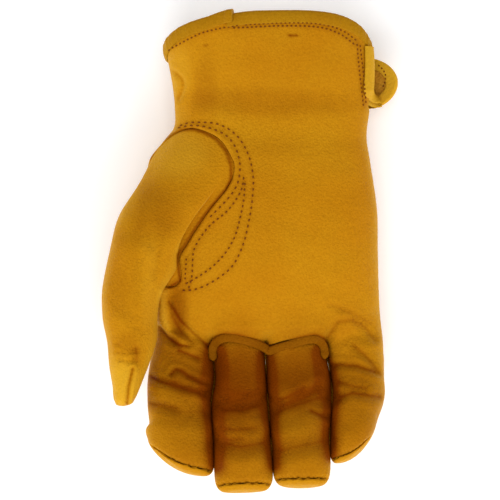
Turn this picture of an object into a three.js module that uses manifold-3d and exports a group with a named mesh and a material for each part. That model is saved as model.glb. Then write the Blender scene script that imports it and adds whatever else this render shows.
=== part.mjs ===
// A right-hand leather work glove, hollow, lying on its back with the palm up and the fingers curled.
// Millimetres. +X is the little-finger side, +Y points to the cuff, +Z out of the palm.
// The origin is a point of the flat patch of the back on which the glove lies.
import * as THREE from "three";
import Module from "manifold-3d";

const wasm = await Module();
wasm.setup();

// Driving sizes
const LEATHER = 1.3; // thickness of every panel
const BINDING = 1; // thickness of the binding tape
const BINDING_CLEAR = 0.42; // how far the tape keeps from the leather
const BINDING_DEPTH = 5.6; // how far the tape reaches in from the cuff's edge
const EAR_BINDING_DEPTH = 4.8; // the same at the vent and the ear
const GAP = 0.34; // clearance between neighbouring pieces
const WEB_Y = -50; // the finger crotches
const BODY_ROUND = 2.5; // superellipse power of the hand's section
const FINGER_ROUND = 2.35; // superellipse power of a finger's section
const THUMB_SIDE_SEAM = 34; // degrees that the seam on the thumb side lies round the edge, on the back
const LITTLE_SIDE_SEAM = 12; // the same on the little-finger side
const GUSSET_HALF = 27; // degrees of a finger's side above and below its middle that the gusset takes
const LANE_ANGLES = [66, 91, 116]; // degrees round the palm where one finger's part gives way to the next
const BLEND = 26; // length over which the palm widens into four fingers
const BLEND_ROUND = 13; // length over which each finger becomes round
const CROTCH_LENGTH = 4; // length over which two fingers part at their crotch
const CROTCH_CLEAR = 2.2; // how far a gusset starts below the crotch
const GUSSET_CLEAR = 1.7; // how many gaps a gusset keeps from the panels beside it
const GUSSET_SHORT = 6; // how far before the fingertip a gusset has narrowed to nothing
const GUSSET_TAPER = 16; // length over which it narrows
const FLOOR_SOFTNESS = 1.2; // how gently the flattened back leaves the floor

// Cuff
const RIM = [
  // y of the cuff's edge, by the angle round the section
  { angle: -180, y: 100.4 },
  { angle: -158, y: 100.4 },
  { angle: -125, y: 100.4 },
  { angle: -90, y: 98.6 },
  { angle: -34, y: 97.4 },
  { angle: 0, y: 98.4 },
  { angle: 20, y: 102.4 },
  { angle: 41, y: 107.6 },
  { angle: 70, y: 112.5 },
  { angle: 98, y: 114 },
  { angle: 124, y: 112.8 },
  { angle: 146, y: 108.4 },
  { angle: 168, y: 101 },
  { angle: 180, y: 99 },
];
const TAPE_JOIN = 74.3; // degrees round the rim where the two tapes meet, on the palm side
const VENT_LOW = 64.5; // y of the lower end of the side vent
const VENT_ROUND = 6; // length over which the vent narrows to its end
const VENT_FRONT = 168; // degrees round the section of the vent's palm edge
const VENT_BACK = -158; // degrees round the section of the vent's back edge
const EAR_Y = 81.8; // centre of the rounded ear on the vent's back edge
const EAR_RADIUS = 12.2;
const EAR_REACH = 15; // how far the ear stands out
const EAR_ROOT = 0.45; // where the ear starts, as a share of the back's outer lane
const EAR_MIDDLE_X = 51; // x of the middle of its rounding
const EAR_TAPE_ENDS = 0.16; // share of the rounding that its tape leaves free at either end
const EAR_LIFT = 4; // how much higher the ear's outer edge is
const VENT_TAPE_END = 8; // how far above the vent's end its tape stops

// Sections of the hand, from the cuff to the finger crotches: the widest points, their height,
// and the heights of the palm and of the back, which is flattened where it would pass the floor
const HAND = [
  { y: 120, left: -49.6, right: 52.6, mid: 20.5, front: 41.5, back: 1.7 },
  { y: 102, left: -48.9, right: 52.4, mid: 20, front: 41, back: 1.7 },
  { y: 90, left: -46.6, right: 53, mid: 19.5, front: 38.8, back: 1.5 },
  { y: 80, left: -44.8, right: 52.8, mid: 19, front: 36.8, back: -0.4 },
  { y: 70, left: -43.8, right: 52, mid: 18.5, front: 35.5, back: -1.5 },
  { y: 60, left: -44.2, right: 50.6, mid: 18, front: 35, back: -2 },
  { y: 54, left: -48.8, right: 50.4, mid: 18, front: 35.5, back: -2.2 },
  { y: 44, left: -56, right: 51.9, mid: 18.5, front: 37.5, back: -2.5 },
  { y: 20, left: -60, right: 55.4, mid: 18.5, front: 40, back: -3 },
  { y: 0, left: -58, right: 55.8, mid: 18.5, front: 40.5, back: -3 },
  { y: -20, left: -53.5, right: 56.3, mid: 18, front: 38.5, back: -2.5 },
  { y: -36, left: -53.2, right: 57.1, mid: 17, front: 35, back: -1 },
  { y: -50, left: -54.2, right: 58.5, mid: 16, front: 31, back: 1.5 },
];

// Sections of each finger, from its crotch (s 0) to its tip: middle line, width, depth,
// tilt towards the palm and turn of the section, in degrees
const FINGERS = {
  index: [
    { s: 0, x: -40.2, width: 28.8, depth: 25.5, tilt: 10, turn: 0 },
    { s: 14, x: -40.9, width: 31.2, depth: 25.5, tilt: 26, turn: 0 },
    { s: 28, x: -41.1, width: 30.6, depth: 24.5, tilt: 33, turn: -4 },
    { s: 42, x: -40.1, width: 31.1, depth: 23.5, tilt: 30, turn: -14 },
    { s: 48, x: -40.6, width: 34.2, depth: 23, tilt: 27, turn: -19 },
    { s: 55, x: -40.2, width: 34.9, depth: 22, tilt: 24, turn: -25 },
    { s: 64.6, x: -39.4, width: 35.6, depth: 20.5, tilt: 20, turn: -30 },
  ],
  middle: [
    { s: 0, x: -12.5, width: 25, depth: 26, tilt: 10, turn: 0 },
    { s: 16, x: -11.95, width: 25.9, depth: 26, tilt: 26, turn: 0 },
    { s: 30, x: -11.85, width: 27.1, depth: 25, tilt: 34, turn: 0 },
    { s: 48, x: -10.75, width: 27.3, depth: 24, tilt: 31, turn: 1 },
    { s: 62, x: -10, width: 27.6, depth: 23, tilt: 26, turn: 2 },
    { s: 76.8, x: -9.75, width: 27.1, depth: 21, tilt: 21, turn: 2 },
  ],
  ring: [
    { s: 0, x: 15.4, width: 28.8, depth: 26, tilt: 10, turn: 0 },
    { s: 16, x: 16.9, width: 31, depth: 26, tilt: 26, turn: 0 },
    { s: 30, x: 17.45, width: 30.7, depth: 25, tilt: 34, turn: 0 },
    { s: 47, x: 17.35, width: 28.1, depth: 24, tilt: 31, turn: 1 },
    { s: 60, x: 17.85, width: 27.3, depth: 23, tilt: 26, turn: 2 },
    { s: 74.2, x: 17.9, width: 26.4, depth: 21, tilt: 21, turn: 2 },
  ],
  little: [
    { s: 0, x: 44.7, width: 27.8, depth: 24.5, tilt: 10, turn: 0 },
    { s: 13, x: 45.6, width: 25.6, depth: 24, tilt: 25, turn: 0 },
    { s: 24, x: 45.9, width: 25.2, depth: 23.5, tilt: 32, turn: 4 },
    { s: 37, x: 43.8, width: 23.8, depth: 22.5, tilt: 31, turn: 14 },
    { s: 48, x: 42.65, width: 23.6, depth: 21, tilt: 27, turn: 24 },
    { s: 58.6, x: 41.3, width: 22.4, depth: 18.5, tilt: 23, turn: 30 },
  ],
};
const FINGER_BASE_Z = [17.2, 17, 17, 17]; // height of each middle line at the crotch
const TIP_DEPTH_LENGTH = 13; // length over which a fingertip closes in depth
const TIP_WIDTH_LENGTH = 9; // length over which it rounds off in width
const TIP_WIDTH_KEPT = 0.66; // share of the width left at the very end
const TIP_SEAM_RAISE = 2.4; // how far the tip seam lies above the middle line
const TIP_RAISE_LENGTH = 16; // length over which it gets there
const TIP_ROUND = 2.4; // superellipse power of both roundings

// The thumb, from the hand to its tip: middle point, width seen from the palm, depth,
// and turn of the section, in degrees
const THUMB = [
  { s: 3, x: -56.6, y: 1, z: 35.5, width: 33.6, depth: 31, turn: 28 },
  { s: 4, x: -63.8, y: -19, z: 37.8, width: 28.6, depth: 27.5, turn: 10 },
  { s: 5, x: -64.8, y: -32, z: 37.5, width: 26.6, depth: 28, turn: 0 },
  { s: 6, x: -63.8, y: -44, z: 37.5, width: 24, depth: 27, turn: -4 },
  { s: 7, x: -65, y: -55, z: 37.2, width: 19.8, depth: 25.5, turn: -6 },
  { s: 8, x: -66.2, y: -65, z: 37, width: 14.2, depth: 23, turn: -6 },
  { s: 8.7, x: -67.2, y: -72, z: 37, width: 10.4, depth: 20, turn: -6 },
  { s: 9, x: -67.6, y: -75.6, z: 37, width: 5.6, depth: 14, turn: -6 },
];

// The edge of the thumb hole, by the angle round the thumb: on the palm by its place, x and y,
// and round the edge of the hand by y and the angle round the hand's section
const THUMB_HOLE = [
  { angle: 330, x: -45.6, y: -18.1 },
  { angle: 345, x: -40.6, y: -13.5 },
  { angle: 2, x: -41.3, y: -4 },
  { angle: 15, x: -37.4, y: 2.9 },
  { angle: 28, x: -31.7, y: 11.8 },
  { angle: 40, x: -25.5, y: 20.6 },
  { angle: 50, x: -19, y: 28.4 },
  { angle: 60, x: -15, y: 36 },
  { angle: 70, x: -15.2, y: 43.5 },
  { angle: 82, x: -20, y: 51.8 },
  { angle: 95, x: -26.5, y: 56.6 },
  { angle: 112, x: -36, y: 59.3 },
  { angle: 128, x: -43.6, y: 56.8 },
  { angle: 142, x: -48.7, y: 52.5 },
  { angle: 158, around: 9, y: 46 },
  { angle: 177, around: -1, y: 40 },
  { angle: 200, around: -15, y: 32 },
  { angle: 224, around: -23, y: 20 },
  { angle: 250, around: -26, y: 7 },
  { angle: 278, around: -23, y: -6 },
  { angle: 306, around: -10, y: -15 },
];
const HOLE_MIDDLE = { around: 14, y: 20 };
const THUMB_TUCK = 2.2; // how far the thumb's base reaches under the palm's edge
const THUMB_UNDER = 0.9; // clearance between the two there
const THUMB_CLEAR = 1.8; // how far it keeps from the edge where it passes through
// How far inside the edge it has risen, by how much on the palm, and what share of that at the side
const THUMB_RISE = { inside: 6.5, lift: 4, side: 0.5 };
const THUMB_CAP = 1.2; // how far the closed end stands out past the last section
// Rings between the sections of the thumb, counted from its base: the first three lie at the hole
const THUMB_RINGS = [
  ...[0, 1, 2, 2.2, 2.4, 2.6, 2.8, 3, 3.35, 3.7, 4, 4.5],
  ...[5, 5.5, 6, 6.5, 7, 8, 9, 9.6, 10, 11],
];

// Seam between the palm and the two middle fingers
const SEAM_BOW = 5.5; // how far the seam bows towards the palm over each finger
const SEAM_LIFT = 2.6; // how far the palm's edge puffs above the finger
const SEAM_LIFT_SHARE = 0.14; // share of the palm's length that puffs up
const WELT = 2.3; // width of the welt in the seam
const WELT_START = 1 / 6; // how far in from the crotch it starts, as a share of the lane

// Main folds and dents of the palm side, as lines seen from above: their ends, their depth
// (a ridge has a negative one) and the half width
const FOLDS = [
  { name: "index_base_fold", x0: -44, y0: -24, x1: -27, y1: -44, depth: 2, width: 3.4 },
  { name: "index_web_ridge", x0: -50, y0: -24, x1: -40, y1: -46, depth: -1.6, width: 3.6 },
  { name: "index_upper_crease", x0: -54, y0: -67, x1: -29, y1: -69, depth: 1.8, width: 3.6 },
  { name: "index_lower_crease", x0: -55, y0: -81, x1: -33, y1: -82, depth: 1.5, width: 3.6 },
  { name: "middle_upper_crease", x0: -22, y0: -77, x1: 0, y1: -76, depth: 1.6, width: 3.8 },
  { name: "ring_upper_crease", x0: 8, y0: -75, x1: 27, y1: -69, depth: 1.5, width: 3.8 },
  { name: "little_base_fold", x0: 35, y0: -38, x1: 55, y1: -40, depth: 1.4, width: 3.4 },
  { name: "little_upper_crease", x0: 34, y0: -57, x1: 56, y1: -58, depth: 1.5, width: 3.2 },
  { name: "little_lower_crease", x0: 33, y0: -73, x1: 58, y1: -74, depth: 1.6, width: 3.2 },
  { name: "palm_hollow", x0: 2, y0: 20, x1: 10, y1: -25, depth: 2, width: 17 },
  { name: "wrist_dip", x0: -40, y0: 70, x1: 45, y1: 70, depth: 1, width: 8 },
];
const rad = THREE.MathUtils.degToRad;
const lerp = THREE.MathUtils.lerp;
const clamp01 = (t) => Math.min(1, Math.max(0, t));
const smooth = (t) => clamp01(t) ** 2 * (3 - 2 * clamp01(t));
const power = (v, p) => Math.sign(v) * Math.abs(v) ** p;
const shares = (n) => Array.from({ length: n + 1 }, (_, i) => i / n);

// A smooth curve through one column of a table, by another column
function track(table, by, column, period = 0) {
  const rows = table.map((r) => ({ at: r[by], value: r[column] }));
  rows.sort((a, b) => a.at - b.at);
  if (period) {
    const first = rows[0];
    const last = rows[rows.length - 1];
    rows.unshift({ at: last.at - period, value: last.value });
    rows.push({ at: first.at + period, value: first.value });
  }
  const slope = rows.map((_, i) => {
    const a = rows[Math.max(0, i - 1)];
    const b = rows[Math.min(rows.length - 1, i + 1)];
    return (b.value - a.value) / (b.at - a.at);
  });
  return (at) => {
    let i = 0;
    while (i < rows.length - 2 && rows[i + 1].at < at) i += 1;
    const span = rows[i + 1].at - rows[i].at;
    const t = (at - rows[i].at) / span;
    if (t < 0) return rows[i].value + slope[i] * t * span;
    if (t > 1) return rows[i + 1].value + slope[i + 1] * (t - 1) * span;
    const start = t * (1 - t) ** 2 * span * slope[i];
    const end = t * t * (t - 1) * span * slope[i + 1];
    return lerp(rows[i].value, rows[i + 1].value, smooth(t)) + start + end;
  };
}

const columns = (table, by, names, period) =>
  Object.fromEntries(names.map((c) => [c, track(table, by, c, period)]));
const hand = columns(HAND, "y", ["left", "right", "mid", "front", "back"]);

// Every skin function below takes depth: how far inside the outer face of the leather the point is.

// Point of the hand's section at y. The angle runs from 0 at the thumb side over the palm to 180,
// and below 0 round the back.
function handPoint(angle, y, depth) {
  const across = power(Math.cos(rad(angle)), 2 / BODY_ROUND);
  const rise = power(Math.sin(rad(angle)), 2 / BODY_ROUND);
  const [left, right, mid] = [hand.left(y), hand.right(y), hand.mid(y)];
  const half = (right - left) / 2 - depth;
  const height = (rise > 0 ? hand.front(y) - mid : mid - hand.back(y)) - depth;
  return new THREE.Vector3((left + right) / 2 - across * half, y, mid + rise * height);
}

// Angle round the hand's section of the palm point at x and y
function angleAt(x, y) {
  const [left, right] = [hand.left(y), hand.right(y)];
  const across = -(2 * x - left - right) / (right - left);
  return THREE.MathUtils.radToDeg(Math.acos(power(across, BODY_ROUND / 2)));
}

// Fingers, index first. The middle line adds up the tilt in small steps.
const STEP = 0.5;
const fingers = Object.values(FINGERS).map((table, lane) => {
  const finger = columns(table, "s", ["x", "width", "depth", "tilt", "turn"]);
  finger.length = table[table.length - 1].s;
  const line = [{ y: WEB_Y, z: FINGER_BASE_Z[lane] }];
  for (let s = STEP / 2; s < finger.length + 2; s += STEP) {
    const last = line[line.length - 1];
    const tilt = rad(finger.tilt(s));
    line.push({ y: last.y - STEP * Math.cos(tilt), z: last.z + STEP * Math.sin(tilt) });
  }
  finger.middle = (s) => {
    const i = Math.max(0, Math.floor(s / STEP));
    const t = s / STEP - i;
    return new THREE.Vector3(
      finger.x(Math.max(0, s)),
      line[i].y + (line[i + 1].y - line[i].y) * t,
      line[i].z + (line[i + 1].z - line[i].z) * t,
    );
  };
  return finger;
});

// Share of a fingertip's size left at s, for a rounding over a length before the tip
function tipTaper(finger, s, length, kept, depth) {
  const t = clamp01((s - finger.length + length) / (length - depth));
  return kept + (1 - kept) * (1 - t ** TIP_ROUND) ** (1 / TIP_ROUND);
}

// How far a finger's gussets are still open at s, as a share
const gussetShare = (finger, s) =>
  1 - smooth((s - finger.length + GUSSET_SHORT + GUSSET_TAPER) / GUSSET_TAPER);

// Point of a finger's section, at the angle round it. Close to the tip the front and the back
// keep half the gap from the seam between them.
function fingerPoint(side, finger, angle, s, depth) {
  const at = Math.max(0, s);
  const tilt = rad(finger.tilt(at));
  const turn = rad(finger.turn(at));
  const forward = new THREE.Vector3(0, -Math.cos(tilt), Math.sin(tilt));
  const up = new THREE.Vector3(0, Math.sin(tilt), Math.cos(tilt));
  const sideways = new THREE.Vector3(Math.cos(turn), 0, 0);
  sideways.addScaledVector(forward, -Math.sin(turn));
  const narrow = tipTaper(finger, s, TIP_WIDTH_LENGTH, TIP_WIDTH_KEPT, depth);
  const closed = tipTaper(finger, s, TIP_DEPTH_LENGTH, 0, depth);
  const across = power(Math.cos(rad(angle)), 2 / FINGER_ROUND);
  const rise = power(Math.sin(rad(angle)), 2 / FINGER_ROUND);
  const raise = TIP_SEAM_RAISE * smooth((s - finger.length + TIP_RAISE_LENGTH) / TIP_RAISE_LENGTH);
  const open = (GAP / 2) * (1 - gussetShare(finger, s));
  const halfWidth = (finger.width(at) / 2 - depth) * narrow;
  const halfDepth = (finger.depth(at) / 2 - depth - Math.sign(rise) * raise) * closed;
  return finger
    .middle(Math.min(s, finger.length - depth))
    .addScaledVector(sideways, -across * halfWidth)
    .addScaledVector(up, raise + rise * halfDepth + (side === "front" ? open : -open));
}

// Half the gap as degrees round a section of the given depth
const seamClear = (depth) => THREE.MathUtils.radToDeg(GAP / depth);

// Angles round the hand's section between which the front's or the back's part of each finger lies
function handLanes(side, y) {
  const sign = side === "front" ? 1 : -1;
  const clear = sign * seamClear(hand.front(y) - hand.back(y));
  const open = smooth((y - VENT_LOW) / VENT_ROUND);
  const seam = sign * 180 + LITTLE_SIDE_SEAM - clear;
  const end = lerp(seam, side === "front" ? VENT_FRONT : VENT_BACK, open);
  return [-THUMB_SIDE_SEAM + clear, ...LANE_ANGLES.map((a) => sign * a), end];
}

// The same on a finger, where the parts end at the gussets and, past them, at the tip seam
function fingerLane(side, lane, s) {
  const sign = side === "front" ? 1 : -1;
  const at = Math.max(0, s);
  const share = gussetShare(fingers[lane], at);
  const half = GUSSET_HALF * share;
  const clear = sign * seamClear(fingers[lane].depth(at));
  const from = lane === 0 ? -THUMB_SIDE_SEAM * share + clear : sign * half;
  const to = lane === 3 ? sign * 180 + LITTLE_SIDE_SEAM * share - clear : sign * (180 - half);
  return [from, to];
}

// Point of a finger's skin at the share v across its lane. Close to the crotch
// the lane's edge is drawn over to the neighbour's.
function fingerSkin(side, lane, v, s, depth) {
  const [from, to] = fingerLane(side, lane, s);
  const p = fingerPoint(side, fingers[lane], lerp(from, to, v), s, depth);
  const fade = clamp01(1 - s / CROTCH_LENGTH);
  const draw = (mine, other, theirs, share) => {
    if (!fade || !fingers[other]) return;
    const a = fingerPoint(side, fingers[lane], fingerLane(side, lane, 0)[mine], s, depth);
    const b = fingerPoint(side, fingers[other], fingerLane(side, other, 0)[theirs], s, depth);
    p.addScaledVector(b.sub(a), (fade / 2) * share);
  };
  draw(0, lane - 1, 1, clamp01(1 - v) ** 2);
  draw(1, lane + 1, 0, clamp01(v) ** 2);
  return p;
}

// Place of the cuff's edge along y, at an angle round the hand's section
const rimY = track(RIM, "angle", "y");
const RIM_VENT = rimY(VENT_BACK);

// How far the ear stands out at y, as a share
const earShare = (y) => Math.sqrt(Math.max(0, 1 - ((y - EAR_Y) / EAR_RADIUS) ** 2));

// Point of the hand's skin at the share v across a lane
function handSkin(side, lane, v, y, depth) {
  const lanes = handLanes(side, y);
  const p = handPoint(lerp(lanes[lane], lanes[lane + 1], v), y, depth);
  if (side === "back" && lane === 3) {
    const out = Math.max(0, (v - EAR_ROOT) / (1 - EAR_ROOT)) ** 1.5 * earShare(y);
    p.x += (EAR_REACH + 0.8 * depth) * out;
    p.z += (EAR_LIFT + 0.5 * depth) * out;
  }
  const into = smooth((WEB_Y + BLEND - y) / BLEND) ** 1.5;
  if (!into) return p;
  const finger = fingerSkin(side, lane, v, WEB_Y - y, depth);
  const round = smooth((WEB_Y + BLEND_ROUND - y) / BLEND_ROUND);
  return p.set(lerp(p.x, finger.x, into), lerp(p.y, finger.y, into), lerp(p.z, finger.z, round));
}

// The seam over the two middle fingers: how far above the crotches it lies, by the place in the lane
const seamRise = (v) => SEAM_BOW * Math.sin(Math.PI * clamp01(v));

// How far the welt has opened the seam, from 0 at the outer crotches to 1
const weltShare = (v) => clamp01(v / WELT_START);

// Depth of the folds at a point, seen from the palm
function foldDepth(x, y) {
  let depth = 0;
  for (const f of FOLDS) {
    const [dx, dy] = [f.x1 - f.x0, f.y1 - f.y0];
    const t = clamp01(((x - f.x0) * dx + (y - f.y0) * dy) / (dx * dx + dy * dy));
    const away = Math.hypot(x - f.x0 - t * dx, y - f.y0 - t * dy) / f.width;
    depth += f.depth * Math.exp(-away * away) * (0.5 + 0.5 * Math.sin(Math.PI * t));
  }
  return depth;
}

// Folds fade out towards the seams at a panel's sides
function fold(p, v, left, right) {
  const fade = smooth(clamp01((left ? v : 1) / 0.25)) * smooth(clamp01((right ? 1 - v : 1) / 0.25));
  return -fade * foldDepth(p.x, p.y);
}

// Height with the part that would pass the floor flattened onto it
function rest(z) {
  if (z >= FLOOR_SOFTNESS) return z;
  if (z <= -FLOOR_SOFTNESS) return 0;
  return (z + FLOOR_SOFTNESS) ** 2 / (4 * FLOOR_SOFTNESS);
}
const flatten = (p) => rest(p.z) - p.z;

// Leather between an outer and an inner face, put together from patches. Each patch turns a row
// share, a column share and a depth into a point; shift is added to its height on both faces.
class Panel {
  constructor() {
    this.points = [];
    this.faces = [];
    this.known = new Map();
  }
  index(outer, inner) {
    const key = outer.toArray().map((k) => Math.round(k * 200)).join();
    if (!this.known.has(key)) {
      this.known.set(key, this.points.length);
      this.points.push([outer, inner]);
    }
    return this.known.get(key);
  }
  patch(rows, across, point, { flip = false, shift = () => 0 } = {}) {
    const grid = rows.map((r) =>
      across.map((c) => {
        const outer = point(r, c, 0);
        const inner = point(r, c, LEATHER);
        const moved = shift(outer, r, c);
        outer.z += moved;
        inner.z += moved;
        return this.index(outer, inner);
      }),
    );
    for (let i = 0; i < rows.length - 1; i += 1)
      for (let j = 0; j < across.length - 1; j += 1) {
        const [a, b, c, d] = [grid[i][j], grid[i][j + 1], grid[i + 1][j + 1], grid[i + 1][j]];
        for (const face of flip ? [[a, b, d], [b, c, d]] : [[a, d, b], [b, d, c]])
          if (new Set(face).size === 3) this.faces.push(face);
      }
    return this;
  }
  geometry() {
    const count = this.points.length;
    const faces = [];
    const edges = new Map();
    for (const face of this.faces) {
      faces.push(...face, face[0] + count, face[2] + count, face[1] + count);
      face.forEach((a, k) => {
        const b = face[(k + 1) % 3];
        if (!edges.delete(b + "," + a)) edges.set(a + "," + b, [a, b]);
      });
    }
    for (const [a, b] of edges.values()) faces.push(b, a, a + count, b, a + count, b + count);
    const points = [...this.points.map((p) => p[0]), ...this.points.map((p) => p[1])];
    return solidGeometry(points.flatMap((p) => p.toArray()), faces);
  }
}

function solidGeometry(points, faces) {
  const g = new THREE.BufferGeometry();
  g.setAttribute("position", new THREE.Float32BufferAttribute(points, 3));
  g.setIndex(faces);
  return g;
}

function toSolid(geometry) {
  return new wasm.Manifold(
    new wasm.Mesh({
      numProp: 3,
      vertProperties: geometry.attributes.position.array,
      triVerts: new Uint32Array(geometry.index.array),
    }),
  );
}

// Rows of the hand as shares of its length, closest at the ear's rounded ends
const rowOf = (y) => (RIM_VENT - y) / (RIM_VENT - WEB_Y);
const earY = (t) => EAR_Y + EAR_RADIUS * Math.cos(Math.PI * t);
const EAR_ROWS = shares(8).map((t) => rowOf(earY(t)));
const LOWER_ROWS = shares(19).slice(1).map((t) => lerp(EAR_ROWS[8], 1, t));
const HAND_ROWS = [0, rowOf(97), ...EAR_ROWS, ...LOWER_ROWS];
const FINGER_ROWS = shares(12).map((t) => 1 - (1 - t) ** 1.25);
const FRONT_COLUMNS = [7, 6, 6, 7].map(shares);
const BACK_COLUMNS = [4, 3, 3, 5].map(shares);

// The palm, in one piece with the fronts of the index and the little finger
function palm() {
  const made = new Panel();
  for (const lane of [0, 1, 2, 3]) {
    const inner = lane === 1 || lane === 2;
    made.patch(
      HAND_ROWS,
      FRONT_COLUMNS[lane],
      (row, v, depth) => {
        const room = (WELT / 2 + 1.4 * GAP) * weltShare(lane === 1 ? v : 1 - v);
        const lowest = WEB_Y + (inner ? seamRise(v) + room : 0);
        const lanes = handLanes("front", RIM_VENT);
        const top = rimY(lerp(lanes[lane], lanes[lane + 1], v));
        const p = handSkin("front", lane, v, lerp(top, lowest, row), depth);
        const puffed = smooth((row - 1 + SEAM_LIFT_SHARE) / SEAM_LIFT_SHARE);
        if (inner) p.z += SEAM_LIFT * Math.sin(Math.PI * v) * puffed;
        return p;
      },
      { shift: (p, row, v) => fold(p, v, lane === 0, lane === 3) },
    );
  }
  for (const lane of [0, 3])
    made.patch(
      FINGER_ROWS,
      FRONT_COLUMNS[lane],
      (row, v, depth) => fingerSkin("front", lane, v, row * fingers[lane].length, depth),
      { shift: (p, row, v) => (row ? fold(p, v, true, true) : fold(p, v, lane === 0, lane === 3)) },
    );
  const hole = toSolid(holeCutter());
  const mesh = toSolid(made.geometry()).subtract(hole).getMesh();
  return solidGeometry([...mesh.vertProperties], [...mesh.triVerts]);
}

// The front of one of the two middle fingers, set in below the welt
function fingerFront(lane) {
  const edge = (1.5 * GAP) / fingers[lane].width(0);
  return new Panel()
    .patch(
      FINGER_ROWS,
      FRONT_COLUMNS[lane],
      (row, v, depth) => {
        const room = GAP * 1.2 + (WELT / 2) * weltShare(lane === 1 ? v : 1 - v);
        const start = room - seamRise(v);
        const s = lerp(start, fingers[lane].length, row);
        return fingerSkin("front", lane, lerp(edge, 1 - edge, v), s, depth);
      },
      { shift: (p, row, v) => fold(p, v, true, true) },
    )
    .geometry();
}

// The back, in one piece with the backs of all four fingers
function back() {
  const made = new Panel();
  for (const lane of [0, 1, 2, 3]) {
    const lanes = handLanes("back", RIM_VENT);
    made.patch(
      HAND_ROWS,
      BACK_COLUMNS[lane],
      (row, v, depth) => {
        const top = rimY(lerp(lanes[lane], lanes[lane + 1], v));
        return handSkin("back", lane, v, lerp(top, WEB_Y, row), depth);
      },
      { flip: true, shift: flatten },
    );
    made.patch(
      FINGER_ROWS,
      BACK_COLUMNS[lane],
      (row, v, depth) => fingerSkin("back", lane, v, row * fingers[lane].length, depth),
      { flip: true, shift: flatten },
    );
  }
  return made.geometry();
}

// The gusset between two fingers: up the side of one, round the crotch, down the other's
function gusset(lane) {
  const sides = [fingers[lane], fingers[lane + 1]];
  const at = (k, s, v, depth) => {
    const clear = 2 * seamClear(sides[k].depth(s)) * GUSSET_CLEAR;
    const half = GUSSET_HALF * gussetShare(sides[k], s) - clear;
    const angle = (1 - 2 * v) * half;
    return fingerPoint("front", sides[k], k === 0 ? 180 - angle : angle, s, depth);
  };
  return new Panel()
    .patch(
      shares(22).map((t) => 2 * t - 1),
      shares(3),
      (place, v, depth) => {
        const mine = place < 0 ? 0 : 1;
        const end = sides[mine].length - GUSSET_SHORT - GUSSET_TAPER / 3;
        const s = lerp(CROTCH_CLEAR, end, Math.abs(place));
        const p = at(mine, s, v, depth);
        const fade = clamp01(1 - (s - CROTCH_CLEAR) / CROTCH_LENGTH);
        p.addScaledVector(at(1 - mine, s, v, depth).sub(p), fade / 2);
        p.y += depth * fade;
        return p;
      },
      { flip: true },
    )
    .geometry();
}

// The welt in the seam over the two middle fingers
function welt() {
  const made = new Panel();
  for (const lane of [1, 2])
    made.patch(
      shares(3),
      shares(5),
      (row, v, depth) => {
        const place = lane === 1 ? lerp(WELT_START, 1, v) : lerp(0, 1 - WELT_START, v);
        const s = lerp(-WELT / 2, WELT / 2, row) - seamRise(place);
        const high = handSkin("front", lane, place, WEB_Y - s, depth);
        high.z += SEAM_LIFT * Math.sin(Math.PI * place);
        return high.lerp(fingerSkin("front", lane, place, s, depth), row);
      },
      { shift: (p, row, v) => -foldDepth(p.x, p.y) },
    );
  return made.geometry();
}

// The edge of the thumb hole, by the angle round the thumb, on the hand's skin
const holeEdge = columns(
  THUMB_HOLE.map((row) => ({ around: angleAt(row.x, row.y), ...row })),
  "angle",
  ["around", "y"],
  360,
);

// Point at a share of the way from the hole's middle to its edge, lifted off the skin
function holePoint(angle, size, lift) {
  const around = lerp(HOLE_MIDDLE.around, holeEdge.around(angle), size);
  const y = lerp(HOLE_MIDDLE.y, holeEdge.y(angle), size);
  return handPoint(around, y, -lift);
}

// Solid that cuts the thumb hole: the hole's outline from inside the hand to outside it
function holeCutter() {
  const points = [];
  const faces = [];
  const count = 48;
  for (let i = 0; i < count; i += 1)
    for (const lift of [-5, 5]) points.push(...holePoint((360 * i) / count, 1, lift).toArray());
  points.push(...holePoint(0, 0, -20).toArray(), ...holePoint(0, 0, 30).toArray());
  const [inside, outside] = [2 * count, 2 * count + 1];
  for (let i = 0; i < count; i += 1) {
    const [a, b] = [2 * i, (2 * i + 2) % (2 * count)];
    faces.push(a, b, a + 1, b, b + 1, a + 1, a, inside, b, a + 1, b + 1, outside);
  }
  return solidGeometry(points, faces);
}

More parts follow.
